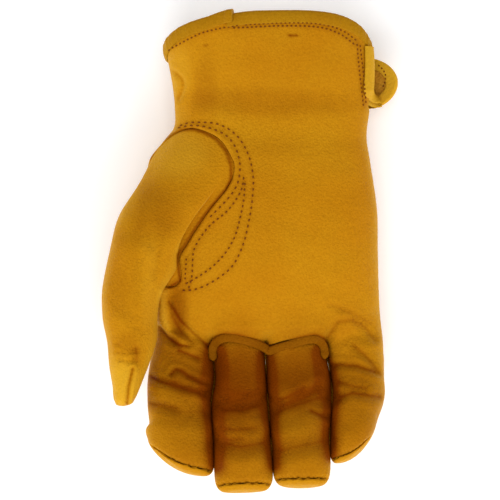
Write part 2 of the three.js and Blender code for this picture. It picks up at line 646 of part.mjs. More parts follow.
// The thumb: a tube that starts under the edge of its hole and is closed at the tip
const thumbSection = columns(THUMB, "s", ["x", "y", "z", "width", "depth", "turn"]);
function thumbRing(angle, s, depth) {
  const t = thumbSection;
  const across = power(Math.cos(rad(angle)), 2 / FINGER_ROUND) * (t.width(s) / 2 - depth);
  const rise = power(Math.sin(rad(angle)), 2 / FINGER_ROUND) * (t.depth(s) / 2 - depth);
  return new THREE.Vector3(
    t.x(s) + across * Math.cos(rad(t.turn(s))),
    t.y(s) - across * Math.sin(rad(t.turn(s))),
    t.z(s) + rise,
  );
}
function thumb() {
  const last = THUMB[THUMB.length - 1].s;
  const under = -LEATHER - THUMB_UNDER;
  const made = new Panel();
  const curve = (angle, depth) => {
    const radius = 10 * holePoint(angle, 1, 0).distanceTo(holePoint(angle, 0.9, 0));
    const palmwards = smooth(holeEdge.around(angle) / 60);
    const lift = THUMB_RISE.lift * lerp(THUMB_RISE.side, 1, palmwards);
    const near = [
      holePoint(angle, 1 + THUMB_TUCK / radius, under - depth),
      holePoint(angle, 1 - THUMB_CLEAR / radius, under - depth),
      holePoint(angle, 1 - THUMB_RISE.inside / radius, lift - depth),
    ];
    const line = [...near, ...THUMB.map((row) => thumbRing(angle, row.s, depth))];
    const passed = [0];
    line.slice(1).forEach((p, i) => passed.push(passed[i] + p.distanceTo(line[i])));
    const rows = line.map((p, i) => ({ at: passed[i], x: p.x, y: p.y, z: p.z }));
    return { passed, ...columns(rows, "at", ["x", "y", "z"]) };
  };
  const end = THUMB.length + 2;
  const cache = new Map();
  made.patch(
    THUMB_RINGS,
    shares(18),
    (ring, c, depth) => {
      const angle = (360 * c) % 360;
      const key = angle + "," + depth;
      if (!cache.has(key)) cache.set(key, curve(angle, depth));
      const line = cache.get(key);
      if (ring > end) {
        const t = thumbSection;
        return new THREE.Vector3(t.x(last), t.y(last) - THUMB_CAP + depth, t.z(last));
      }
      const k = Math.min(Math.floor(ring), end - 1);
      const at = lerp(line.passed[k], line.passed[k + 1], ring - k);
      const back = depth * smooth((ring - end + 1.5) / 1.5);
      return new THREE.Vector3(line.x(at), line.y(at) + back, line.z(at));
    },
    { flip: true },
  );
  return made.geometry();
}

// A tape folded over an edge. skin gives a point by the place along the edge, the distance in from
// the edge and the depth below the outer face.
function tape(stations, reach, bends, skin) {
  const [high, low] = [-BINDING_CLEAR - BINDING, LEATHER + BINDING_CLEAR + BINDING];
  const [over, under] = [-BINDING_CLEAR, LEATHER + BINDING_CLEAR];
  const across = shares(bends).map((t) => lerp(reach, -BINDING_CLEAR, t));
  const outside = [
    ...across.map((into) => ({ into, depth: high })),
    { into: high, depth: -0.3 },
    { into: high, depth: LEATHER + 0.3 },
    ...across.map((into) => ({ into, depth: low })).reverse(),
  ];
  const inside = [
    ...across.map((into) => ({ into, depth: over })),
    { into: -BINDING_CLEAR, depth: over },
    { into: -BINDING_CLEAR, depth: under },
    ...across.map((into) => ({ into, depth: under })).reverse(),
  ];
  const n = outside.length;
  const points = stations.flatMap((at) =>
    [...outside, ...inside].flatMap((p) => skin(at, p.into, p.depth).toArray()),
  );
  const faces = [];
  const quad = (a, b, c, d) => faces.push(a, c, b, b, c, d);
  for (let i = 0; i < stations.length - 1; i += 1) {
    const [near, far] = [i * 2 * n, (i + 1) * 2 * n];
    for (let j = 0; j < n - 1; j += 1) {
      quad(near + j + 1, near + j, far + j + 1, far + j);
      quad(near + n + j, near + n + j + 1, far + n + j, far + n + j + 1);
    }
    quad(near, near + n, far, far + n);
    quad(near + 2 * n - 1, near + n - 1, far + 2 * n - 1, far + n - 1);
  }
  const last = (stations.length - 1) * 2 * n;
  for (let j = 0; j < n - 1; j += 1) {
    quad(j, j + 1, n + j, n + j + 1);
    quad(last + j + 1, last + j, last + n + j + 1, last + n + j);
  }
  return solidGeometry(points, faces);
}

// The two tapes round the cuff's edge, with a station at every column of the panels they cover
const columnAngles = (side, columnsOf) =>
  columnsOf.flatMap((places, lane) => {
    const [from, to] = handLanes(side, RIM_VENT).slice(lane, lane + 2);
    return places.map((t) => lerp(from, to, t));
  });
function cuffTapes() {
  const front = columnAngles("front", FRONT_COLUMNS);
  const round = [...columnAngles("back", BACK_COLUMNS).reverse(), ...front];
  const unique = round.filter((a, i) => i === 0 || a - round[i - 1] > 0.01);
  const made = (angles) =>
    tape(angles.reverse(), BINDING_DEPTH, 1, (angle, into, depth) =>
      handPoint(angle, rimY(angle) - into, depth),
    );
  return [
    made([...unique.filter((a) => a < TAPE_JOIN - 1), TAPE_JOIN - 0.5]),
    made([TAPE_JOIN, ...unique.filter((a) => a > TAPE_JOIN + 1)]),
  ];
}

// The tape down the vent's edge on the palm side
function ventTape() {
  const top = rimY(VENT_FRONT);
  const stations = HAND_ROWS.map((row) => lerp(top, WEB_Y, row)).filter(
    (y) => y < top - BINDING_DEPTH - 3 * GAP && y > VENT_LOW + VENT_TAPE_END,
  );
  return tape(stations.reverse(), EAR_BINDING_DEPTH, 3, (y, into, depth) => {
    const arc = handSkin("front", 3, 1, y, 0).distanceTo(handSkin("front", 3, 0.95, y, 0)) / 0.05;
    return handSkin("front", 3, 1 - into / arc, y, depth);
  });
}

// The tape round the ear. In from its edge is towards the ear's middle.
function earTape() {
  const stations = [EAR_TAPE_ENDS, ...shares(8).slice(2, -2), 1 - EAR_TAPE_ENDS];
  return tape(stations, EAR_BINDING_DEPTH, 3, (t, into, depth) => {
    const shrunk = 1 - into / EAR_RADIUS;
    const y = EAR_Y + EAR_RADIUS * Math.cos(Math.PI * t) * shrunk;
    const edge = handSkin("back", 3, 1, y, 0);
    const x = lerp(EAR_MIDDLE_X, handSkin("back", 3, 1, earY(t), 0).x, shrunk);
    const speed = (edge.x - handSkin("back", 3, 0.95, y, 0).x) / 0.05;
    return handSkin("back", 3, 1 - (edge.x - x) / speed, y, depth);
  });
}

const group = new THREE.Group();
const leather = new THREE.MeshStandardMaterial({ color: 0xd0901c, roughness: 0.6, metalness: 0 });
const darkLeather = new THREE.MeshStandardMaterial({ color: 0xc07f18, roughness: 0.6, metalness: 0 });
function add(name, geometry, material = leather) {
  const mesh = new THREE.Mesh(geometry, material);
  mesh.name = name;
  group.add(mesh);
}
add("palm", palm());
add("middle_finger_front", fingerFront(1), darkLeather);
add("ring_finger_front", fingerFront(2), darkLeather);
add("finger_base_welt", welt());
add("back", back());
add("gusset_index_middle", gusset(0), darkLeather);
add("gusset_middle_ring", gusset(1), darkLeather);
add("gusset_ring_little", gusset(2), darkLeather);
add("thumb", thumb());
const [thumbSideTape, palmTape] = cuffTapes();
add("cuff_binding_thumb_side", thumbSideTape);
add("cuff_binding_palm", palmTape);
add("vent_binding", ventTape());
add("ear_binding", earTape());

export default group;
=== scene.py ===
# Looks of a right-hand leather work glove that lies on its back, palm up, with the fingers curled.
# Shapes are worked out in millimetres in the part's frame: +X is the little-finger side, +Y points
# to the cuff and +Z out of the palm. Places read off the photograph are in its pixels.
import math

import bpy
import numpy as np
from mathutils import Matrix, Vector
from mathutils.bvhtree import BVHTree


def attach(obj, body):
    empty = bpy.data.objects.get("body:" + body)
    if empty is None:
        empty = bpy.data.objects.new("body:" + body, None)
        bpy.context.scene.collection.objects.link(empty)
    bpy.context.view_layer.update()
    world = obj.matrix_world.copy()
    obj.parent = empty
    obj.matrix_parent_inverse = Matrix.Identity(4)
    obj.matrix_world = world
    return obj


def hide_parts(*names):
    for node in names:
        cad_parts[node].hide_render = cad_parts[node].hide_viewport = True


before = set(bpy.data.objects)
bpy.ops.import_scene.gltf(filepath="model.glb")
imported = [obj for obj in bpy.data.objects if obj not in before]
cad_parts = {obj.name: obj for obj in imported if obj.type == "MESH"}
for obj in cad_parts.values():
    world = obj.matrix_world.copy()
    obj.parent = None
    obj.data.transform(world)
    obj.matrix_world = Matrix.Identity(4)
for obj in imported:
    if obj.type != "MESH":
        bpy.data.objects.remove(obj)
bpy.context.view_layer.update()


# Rows of a table as dictionaries with the named columns
def table(names, rows):
    return [dict(zip(names.split(), row)) for row in rows]


# Driving sizes, in millimetres
LEATHER = 1.3  # thickness of every panel
GAP = 0.12  # clearance between neighbouring panels at a seam
SEAM_ROLL = 1.3  # radius with which a panel's edge turns down into a seam
TIP_ROLL = 1.9  # the same at the seams across the fingertips
WEB_Y = -50  # the finger crotches
BODY_ROUND = 2.5  # superellipse power of the hand's section
FINGER_ROUND = 2.35  # superellipse power of a finger's section
THUMB_SIDE_SEAM = 34  # degrees that the seam on the thumb side lies round the edge, on the back
LITTLE_SIDE_SEAM = 12  # the same on the little-finger side
GUSSET_FRONT = 9  # degrees of a finger's side that the gusset takes above its middle
GUSSET_BACK = 40  # and below it
LANE_ANGLES = [66, 91, 116]  # degrees round the palm where one finger's part gives way to the next
BLEND = 26  # length over which the palm widens into four fingers
BLEND_ROUND = 13  # length over which each finger becomes round
CROTCH_LENGTH = 4  # length over which two fingers part at their crotch
GUSSET_SHORT = 6  # how far before the fingertip a gusset has narrowed to nothing
GUSSET_TAPER = 16  # length over which it narrows
FLOOR_SOFTNESS = 1.2  # how gently the flattened back leaves the floor
CELL = 0.85  # size of a mesh cell on the palm side
COARSE_CELL = 1.1  # its length from the cuff down to where the creases begin
FINE_CELL = 0.62  # and its length from there to the fingertips
FINE_FROM = 0.68  # where that is, as a share of the palm's length
PALM_LENGTH = 155
BACK_CELL = 1.5  # and on the back

# The photograph: its middle, its scale on the plane SEEN_Z and the camera's height above that plane
PHOTO_MIDDLE = 250
MM_PER_PIXEL = 0.49
CAMERA_X = -6.88
SEEN_Z = 20
CAMERA_UP = 1200

# Cuff: y of its edge, by the angle round the hand's section
RIM = table("angle y", [
    (-180, 100.4),
    (-158, 100.4),
    (-125, 100.4),
    (-90, 98.6),
    (-34, 97.4),
    (0, 98.4),
    (20, 103),
    (41, 108.2),
    (70, 113.2),
    (98, 114.8),
    (124, 113.5),
    (146, 108.9),
    (168, 101),
    (180, 99),
])
BINDING = 1.0  # thickness of the binding tape
BINDING_CLEAR = 0.12  # how far the tape keeps from the leather
BINDING_DEPTH = 5.6  # how far the tape reaches in from the cuff's edge
VENT_BINDING_DEPTH = 6.4  # the same at the vent
EAR_BINDING_DEPTH = 3.9  # and at the ear
TAPE_FOLD = 0.6  # how far in from an edge a tape starts to turn round it
TAPE_JOIN = 74.3  # degrees round the rim where the two tapes meet, on the palm side
TAPE_END_HIGH = 1.5  # how much further out the first tape's end stands there
TAPE_START_LOW = 0.5  # and how much further in the second one starts
VENT_LOW = 64.5  # y of the lower end of the side vent
VENT_ROUND = 6  # length over which the vent narrows to its end
VENT_FRONT = 168  # degrees round the section of the vent's palm edge
VENT_BACK = -158  # degrees round the section of the vent's back edge
VENT_OUT = 0.9  # how far the vent's binding stands off its edge
VENT_TURN_Y = 78.2  # where it starts to turn round the vent's lower end
VENT_TURN_RADIUS = 2.5  # of its middle line there
VENT_TURN_LENGTH = 11  # length of tape that turns
VENT_TURN_TAPER = 0.1  # share of its width that it loses there
VENT_TURN_SUNK = 1  # how far its end sinks into the ear's tape
VENT_TURN = 112  # degrees that it turns
CUFF_SHADE_SHARE = 0.2  # share of darkening of the bindings, a lighter one is negative
VENT_SHADE_SHARE = -0.5
# The ear's tape is lightened as painted light, where it lies low beside the palm's edge
EAR_PAINTED_LIGHT = -0.7
EAR_Y = 81.8  # centre of the rounded ear on the vent's back edge
EAR_RADIUS = 12.2
EAR_REACH = 15  # how far the ear stands out
EAR_ROOT = 0.45  # where the ear starts, as a share of the back's outer lane
EAR_MIDDLE_X = 51  # x of the middle of its rounding
EAR_LIFT = 4  # how much higher the ear's outer edge is
EAR_POWER = 1.5  # above 1, the ear bends out of the back gently
EAR_INNER_OUT = 0.8  # how far its inner face follows its outer one outwards, as a share of the depth
EAR_INNER_UP = 0.5  # and upwards

# Sections of the hand, from the cuff to the finger crotches: the widest points, their height,
# and the heights of the palm and of the back
HAND = table("y left right mid front back", [
    (120, -49.6, 52.6, 20.5, 41.5, 1.7),
    (102, -48.9, 52.4, 20, 41, 1.7),
    (90, -46.6, 53, 19.5, 38.8, 1.5),
    (80, -44.8, 52.8, 19, 36.8, -0.4),
    (70, -43.8, 52, 18.5, 35.5, -1.5),
    (60, -44.2, 50.6, 18, 35, -2),
    (54, -48.8, 50.4, 18, 35.5, -2.2),
    (44, -56, 51.9, 18.5, 37.5, -2.5),
    (20, -60, 55.4, 18.5, 40, -3),
    (0, -58, 55.8, 18.5, 40.5, -3),
    (-20, -53.5, 56.3, 18, 38.5, -2.5),
    (-36, -53.2, 57.1, 17, 35, -1),
    (-50, -54.2, 58.5, 16, 31, 1.5),
])

# Sections of each finger, from its crotch (s 0) to its tip: middle line, width, depth,
# tilt towards the palm and turn of the section, in degrees
FINGER_COLUMNS = "s x width depth tilt turn"
FINGERS = [
    table(FINGER_COLUMNS, [  # index finger
        (0, -40.2, 28.8, 25.5, 10, 0),
        (14, -40.4, 32.2, 25.5, 26, 0),
        (28, -41.1, 30.6, 24.5, 33, -2),
        (42, -40.1, 30.6, 23.5, 30, -6),
        (48, -40.6, 32.8, 23, 27, -7),
        (55, -40.2, 32.2, 22, 24, -8),
        (64.4, -39.4, 31.4, 20.5, 20, -8),
    ]),
    table(FINGER_COLUMNS, [  # middle finger
        (0, -12.5, 25, 26, 10, 0),
        (16, -11.5, 25, 26, 26, 0),
        (30, -12, 27.4, 25, 34, 0),
        (48, -10.75, 27.3, 24, 31, 1),
        (62, -10, 27.6, 23, 26, 2),
        (74.4, -9.75, 27.1, 21, 21, 2),
    ]),
    table(FINGER_COLUMNS, [  # ring finger
        (0, 15.4, 28.8, 26, 10, 0),
        (16, 16.9, 31, 26, 26, 0),
        (30, 17.45, 30.7, 25, 34, 0),
        (47, 17.35, 28.1, 24, 31, 1),
        (60, 17.85, 27.3, 23, 26, 2),
        (72.2, 17.9, 26.4, 21, 21, 2),
    ]),
    table(FINGER_COLUMNS, [  # little finger
        (0, 44.7, 27.8, 24.5, 10, 0),
        (13, 45.6, 25.6, 24, 25, 0),
        (24, 45.9, 25.2, 23.5, 32, 4),
        (37, 43.8, 23.3, 22.5, 31, 8),
        (48, 42.65, 22, 21, 27, 11),
        (58, 41.3, 20, 18.5, 23, 12),
    ]),
]
FINGER_BASE_Z = [17.2, 17, 17, 17]  # height of each middle line at the crotch
TIP_DEPTH_LENGTH = 13  # length over which a fingertip closes in depth
TIP_WIDTH_LENGTH = 9  # length over which it rounds off in width
TIP_WIDTH_KEPT = 0.6  # share of the width left at the very end
TIP_POWER = 2.4  # superellipse power with which it closes and rounds off
TIP_SEAM_RAISE = 2.4  # how far the tip's end lies above the middle line
TIP_RAISE_LENGTH = 16  # length over which it rises to that
TIP_BANDS = [2.5, 2.7, 2.7, 2.0]  # how far the back's leather comes round each tip, onto the front
TIP_GROOVE = 0.3  # open width of the seam behind that band
TIP_PUCKER = 0.4  # how uneven the puckered edges along it are
SIDE_ROLL_KEPT = 0.4  # share to which side edges still turn down past the gussets' ends
TIP_PULL_LENGTH = 30  # length over which a fingertip's corners are drawn back, by finger:
TIP_PULLS = [(8.5, 0), (0, 0), (1, 0.5), (0, 7)]  # on the thumb side and on the other side
FINGER_PRESS = 0.35  # how far the soft sides of two fingers press into one another
PRESS_LENGTH = 4  # length from the crotch over which they come to do so

# The thumb, from the hand to its tip: middle point, width seen from the palm, depth,
# and turn of the section, in degrees
THUMB = table("s x y z width depth turn", [
    (3, -56.6, 1, 35.5, 33.6, 31, 28),
    (4, -63.8, -19, 37.8, 28.6, 27.5, 10),
    (5, -64.8, -32, 37.5, 26.6, 28, 0),
    (6, -63.8, -44, 37.5, 24, 27, -4),
    (7, -65, -55, 37.2, 19.8, 25.5, -6),
    (8, -66.2, -65, 37, 14.2, 23, -6),
    (8.7, -67.2, -71, 37, 11.2, 20, -6),
    (9, -67.5, -74.2, 37, 8.2, 14, -6),
])

SHOULDER_OUT = 2.4  # how far the thumb bulges outwards beside its base
SHOULDER_Y = 18.5  # middle of the bulge
SHOULDER_LONG = 12  # how far it reaches to both sides of that
SHOULDER_X = -50  # x at which it starts
SHOULDER_WIDE = 14  # distance over which it grows from there

# The edge of the thumb hole, by the angle round the thumb: on the palm by its place, x and y,
# and round the edge of the hand by y and the angle round the hand's section
PALM_HOLE = table("angle x y", [
    (330, -45.6, -18.1),
    (345, -40.6, -13.5),
    (2, -41.3, -4),
    (15, -37.4, 2.9),
    (28, -31.7, 11.8),
    (40, -25.5, 20.6),
    (50, -19, 28.4),
    (60, -15, 36),
    (70, -15.2, 43.5),
    (82, -20, 51.8),
    (95, -26.5, 56.6),
    (112, -36, 59.3),
    (128, -43.6, 56.8),
    (142, -48.7, 52.5),
])
EDGE_HOLE = table("angle around y", [
    (158, 9, 46),
    (177, -1, 40),
    (200, -15, 32),
    (224, -23, 20),
    (250, -26, 7),
    (278, -23, -6),
    (306, -10, -15),
])
HOLE_MIDDLE = {"around": 14, "y": 20}
HOLE_STRIP = 2.6  # width of the strip along the hole whose edge is turned under
HOLE_ROLL = 0.9  # radius with which it turns under
HOLE_LIP = 0.2  # how far the turned edge stands up
THUMB_TUCK = 2.2  # how far the thumb's base reaches under the palm's edge
THUMB_UNDER = 0.3  # clearance between the two there

# Seam between the palm and the two middle fingers
SEAM_SKEW = 0.6  # below 1, the bow is highest on the outer half of the finger
SEAM_BOW = 5.4  # how far the seam bows towards the palm over each finger
SEAM_LIFT = 2.6  # how far the palm's edge puffs above the finger
WELT = 1.4  # width of the welt in the seam
WELT_START = 1 / 6  # how far in from the crotch it starts, as a share of the lane


def smooth(t):
    t = np.clip(t, 0, 1)
    return t * t * (3 - 2 * t)


def lerp(a, b, t):
    return a + (b - a) * t


def signed_power(value, power):
    return np.sign(value) * np.abs(value) ** power


# A smooth curve through one column of a table, by another column
def track(rows, by, column, period=0):
    pairs = sorted((row[by], row[column]) for row in rows)
    if period:
        first, last = pairs[0], pairs[-1]
        pairs = [(last[0] - period, last[1])] + pairs + [(first[0] + period, first[1])]
    at, value = np.array(pairs, float).T
    slope = np.gradient(value)
    slope[1:-1] = (value[2:] - value[:-2]) / (at[2:] - at[:-2])
    slope[0] = (value[1] - value[0]) / (at[1] - at[0])
    slope[-1] = (value[-1] - value[-2]) / (at[-1] - at[-2])

    def curve(x):
        x = np.asarray(x, float)
        i = np.clip(np.searchsorted(at, x) - 1, 0, len(at) - 2)
        span = at[i + 1] - at[i]
        free = (x - at[i]) / span
        t = np.clip(free, 0, 1)
        start = t * (1 - t) ** 2 * span * slope[i]
        end = t * t * (t - 1) * span * slope[i + 1]
        before = np.minimum(free, 0) * span * slope[i]
        after = np.maximum(free - 1, 0) * span * slope[i + 1]
        return lerp(value[i], value[i + 1], smooth(t)) + start + end + before + after

    return curve


def columns(rows, by, names, period=0):
    return {name: track(rows, by, name, period) for name in names.split()}


def vectors(x, y, z):
    return np.stack(np.broadcast_arrays(x, y, z), -1).astype(float)


# Distances passed along a line of points
def passed_along(line):
    return np.concatenate([[0], np.cumsum(np.linalg.norm(np.diff(line, axis=0), axis=1))])


hand = columns(HAND, "y", "left right mid front back")

# Every skin function takes depth: how far inside the outer face of the leather the point is


# Point of the hand's section at y. The angle runs from 0 at the thumb side over the palm to 180,
# and below 0 round the back.
def hand_point(angle, y, depth):
    across = signed_power(np.cos(np.radians(angle)), 2 / BODY_ROUND)
    rise = signed_power(np.sin(np.radians(angle)), 2 / BODY_ROUND)
    left, right, mid = hand["left"](y), hand["right"](y), hand["mid"](y)
    half = (right - left) / 2 - depth
    height = np.where(rise > 0, hand["front"](y) - mid, mid - hand["back"](y)) - depth
    return vectors((left + right) / 2 - across * half, y, mid + rise * height)


# Angle round the hand's section of the palm point at x and y
def angle_at(x, y):
    left, right = hand["left"](y), hand["right"](y)
    across = -(2 * x - left - right) / (right - left)
    return np.degrees(np.arccos(signed_power(across, BODY_ROUND / 2)))


# One finger: its middle line adds up the tilt in small steps
class Finger:
    STEP = 0.5

    def __init__(self, rows, base_z, pulls):
        self.pulls = pulls
        self.column = columns(rows, "s", "x width depth tilt turn")
        self.length = rows[-1]["s"]
        steps = np.arange(self.STEP / 2, self.length + 2, self.STEP)
        tilt = np.radians(self.column["tilt"](steps))
        self.at = np.concatenate([[0], steps + self.STEP / 2])
        self.y = WEB_Y - np.concatenate([[0], np.cumsum(self.STEP * np.cos(tilt))])
        self.z = base_z + np.concatenate([[0], np.cumsum(self.STEP * np.sin(tilt))])
        self.first_tilt = tilt[0]

    def middle(self, s):
        before = np.minimum(s, 0)
        y = np.interp(s, self.at, self.y) - before * math.cos(self.first_tilt)
        z = np.interp(s, self.at, self.z) + before * math.sin(self.first_tilt)
        return self.column["x"](np.maximum(s, 0)), y, z


fingers = [Finger(*parts) for parts in zip(FINGERS, FINGER_BASE_Z, TIP_PULLS)]


# Share of a fingertip's size left at s, for a rounding over a length before the tip
def tip_taper(finger, s, length, kept, depth):
    t = np.clip((s - finger.length + length) / (length - depth), 0, 1)
    return kept + (1 - kept) * (1 - t**TIP_POWER) ** (1 / TIP_POWER)


# How far a finger's gussets are still open at s, as a share
def gusset_share(finger, s):
    return 1 - smooth((s - finger.length + GUSSET_SHORT + GUSSET_TAPER) / GUSSET_TAPER)


# Point of a finger's section, at the angle round it
def finger_point(finger, angle, s, depth):
    at = np.maximum(0, s)
    tilt = np.radians(finger.column["tilt"](at))
    turn = np.radians(finger.column["turn"](at))
    narrow = tip_taper(finger, s, TIP_WIDTH_LENGTH, TIP_WIDTH_KEPT, depth)
    closed = tip_taper(finger, s, TIP_DEPTH_LENGTH, 0, depth)
    across = signed_power(np.cos(np.radians(angle)), 2 / FINGER_ROUND)
    rise = signed_power(np.sin(np.radians(angle)), 2 / FINGER_ROUND)
    raised = TIP_SEAM_RAISE * smooth((s - finger.length + TIP_RAISE_LENGTH) / TIP_RAISE_LENGTH)
    pressed = FINGER_PRESS * smooth(s / PRESS_LENGTH)
    wide = across * (finger.column["width"](at) / 2 + pressed - depth) * narrow
    deep = (finger.column["depth"](at) / 2 - depth - np.sign(rise) * raised) * closed
    up = raised + rise * deep
    x, y, z = finger.middle(np.minimum(s, finger.length - depth))
    pulled = sum(pull * ((1 + side * across) / 2) ** 3 for side, pull in zip((1, -1), finger.pulls))
    pulled = pulled * smooth((s - finger.length + TIP_PULL_LENGTH) / TIP_PULL_LENGTH)
    along = wide * np.sin(turn) - pulled
    return vectors(
        x - wide * np.cos(turn),
        y - along * np.cos(tilt) + up * np.sin(tilt),
        z + along * np.sin(tilt) + up * np.cos(tilt),
    )


# Half the gap as degrees round a section of the given depth
def seam_clear(depth):
    return np.degrees(GAP / depth)


# Angles round the hand's section between which the front's or the back's part of each finger lies
def hand_lanes(side, y):
    sign = 1 if side == "front" else -1
    clear = sign * seam_clear(hand["front"](y) - hand["back"](y))
    opened = smooth((y - VENT_LOW) / VENT_ROUND)
    seam = sign * 180 + LITTLE_SIDE_SEAM - clear
    end = lerp(seam, VENT_FRONT if side == "front" else VENT_BACK, opened)
    inner = [sign * a + 0 * end for a in LANE_ANGLES]
    return [-THUMB_SIDE_SEAM + clear, *inner, end]


# The same on a finger, where the parts end at the gussets and, past them, at the tip seam
def finger_lane(side, lane, s):
    sign = 1 if side == "front" else -1
    at = np.maximum(0, s)
    share = gusset_share(fingers[lane], at)
    half = (GUSSET_FRONT if side == "front" else GUSSET_BACK) * share
    clear = sign * seam_clear(fingers[lane].column["depth"](at))
    start = -THUMB_SIDE_SEAM * share + clear if lane == 0 else sign * half
    end = sign * 180 + LITTLE_SIDE_SEAM * share - clear if lane == 3 else sign * (180 - half)
    return start, end


# Point of a finger's skin at the share v across its lane. Close to the crotch
# the lane's edge is drawn over to the neighbour's.
def finger_skin(side, lane, v, s, depth):
    start, end = finger_lane(side, lane, s)
    p = finger_point(fingers[lane], lerp(start, end, v), s, depth)
    fade = np.clip(1 - s / CROTCH_LENGTH, 0, 1)
    for mine, other, theirs, share in (
        (0, lane - 1, 1, np.clip(1 - v, 0, 1) ** 2),
        (1, lane + 1, 0, np.clip(v, 0, 1) ** 2),
    ):
        if 0 <= other < 4:
            a = finger_point(fingers[lane], finger_lane(side, lane, 0)[mine], s, depth)
            b = finger_point(fingers[other], finger_lane(side, other, 0)[theirs], s, depth)
            p = p + (b - a) * (fade / 2 * share)[..., None]
    return p


rim_y = track(RIM, "angle", "y")
RIM_VENT = float(rim_y(VENT_BACK))


# How far the ear stands out at y, as a share
def ear_share(y):
    return np.sqrt(np.maximum(0, 1 - ((y - EAR_Y) / EAR_RADIUS) ** 2))


# Point of the hand's skin at the share v across a lane
def hand_skin(side, lane, v, y, depth):
    v, y, depth = (a.astype(float) for a in np.broadcast_arrays(v, y, depth))
    lanes = hand_lanes(side, y)
    p = hand_point(lerp(lanes[lane], lanes[lane + 1], v), y, depth)
    if side == "back" and lane == 3:
        out = np.maximum(0, (v - EAR_ROOT) / (1 - EAR_ROOT)) ** EAR_POWER * ear_share(y)
        p[..., 0] += (EAR_REACH + EAR_INNER_OUT * depth) * out
        p[..., 2] += (EAR_LIFT + EAR_INNER_UP * depth) * out
    into = smooth((WEB_Y + BLEND - y) / BLEND) ** 1.5
    roundness = smooth((WEB_Y + BLEND_ROUND - y) / BLEND_ROUND)
    finger = finger_skin(side, lane, v, WEB_Y - y, depth)
    share = np.stack([into, into, roundness], -1)
    return lerp(p, finger, share)


# How far above the crotches the seam over the two middle fingers lies, by the share of the way
# from a finger's outer side to the notch between them
def seam_rise(inwards):
    return SEAM_BOW * np.sin(np.pi * np.clip(inwards, 0, 1) ** SEAM_SKEW)


# How far the welt has opened the seam, from 0 at the outer crotches to 1
def welt_share(v):
    return np.clip(v / WELT_START, 0, 1)


# Height with the part that would pass the floor flattened onto it
def rest(z):
    soft = (np.maximum(z + FLOOR_SOFTNESS, 0)) ** 2 / (4 * FLOOR_SOFTNESS)
    return np.where(z >= FLOOR_SOFTNESS, z, soft)


def flatten(p):
    return rest(p[..., 2]) - p[..., 2]


# How far a panel's outer face has turned down at a distance from its edge
def rolled(distance, radius=SEAM_ROLL):
    t = np.clip(1 - distance / radius, 0, 1)
    return radius * (1 - np.sqrt(np.maximum(0, 1 - t * t))) * 0.9


# Millimetres for each pixel at the height z
def photo_scale(z):
    return MM_PER_PIXEL * (CAMERA_UP + SEEN_Z - z) / CAMERA_UP


# Pixels of the photograph at which points are seen
def pixels(p):
    scale = photo_scale(p[..., 2])
    return PHOTO_MIDDLE + (p[..., 0] - CAMERA_X) / scale, PHOTO_MIDDLE - p[..., 1] / scale


# Points at the height z that are seen at pixels
def seen_at(px, py, z):
    scale = photo_scale(z)
    return vectors(CAMERA_X + (px - PHOTO_MIDDLE) * scale, (PHOTO_MIDDLE - py) * scale, z)
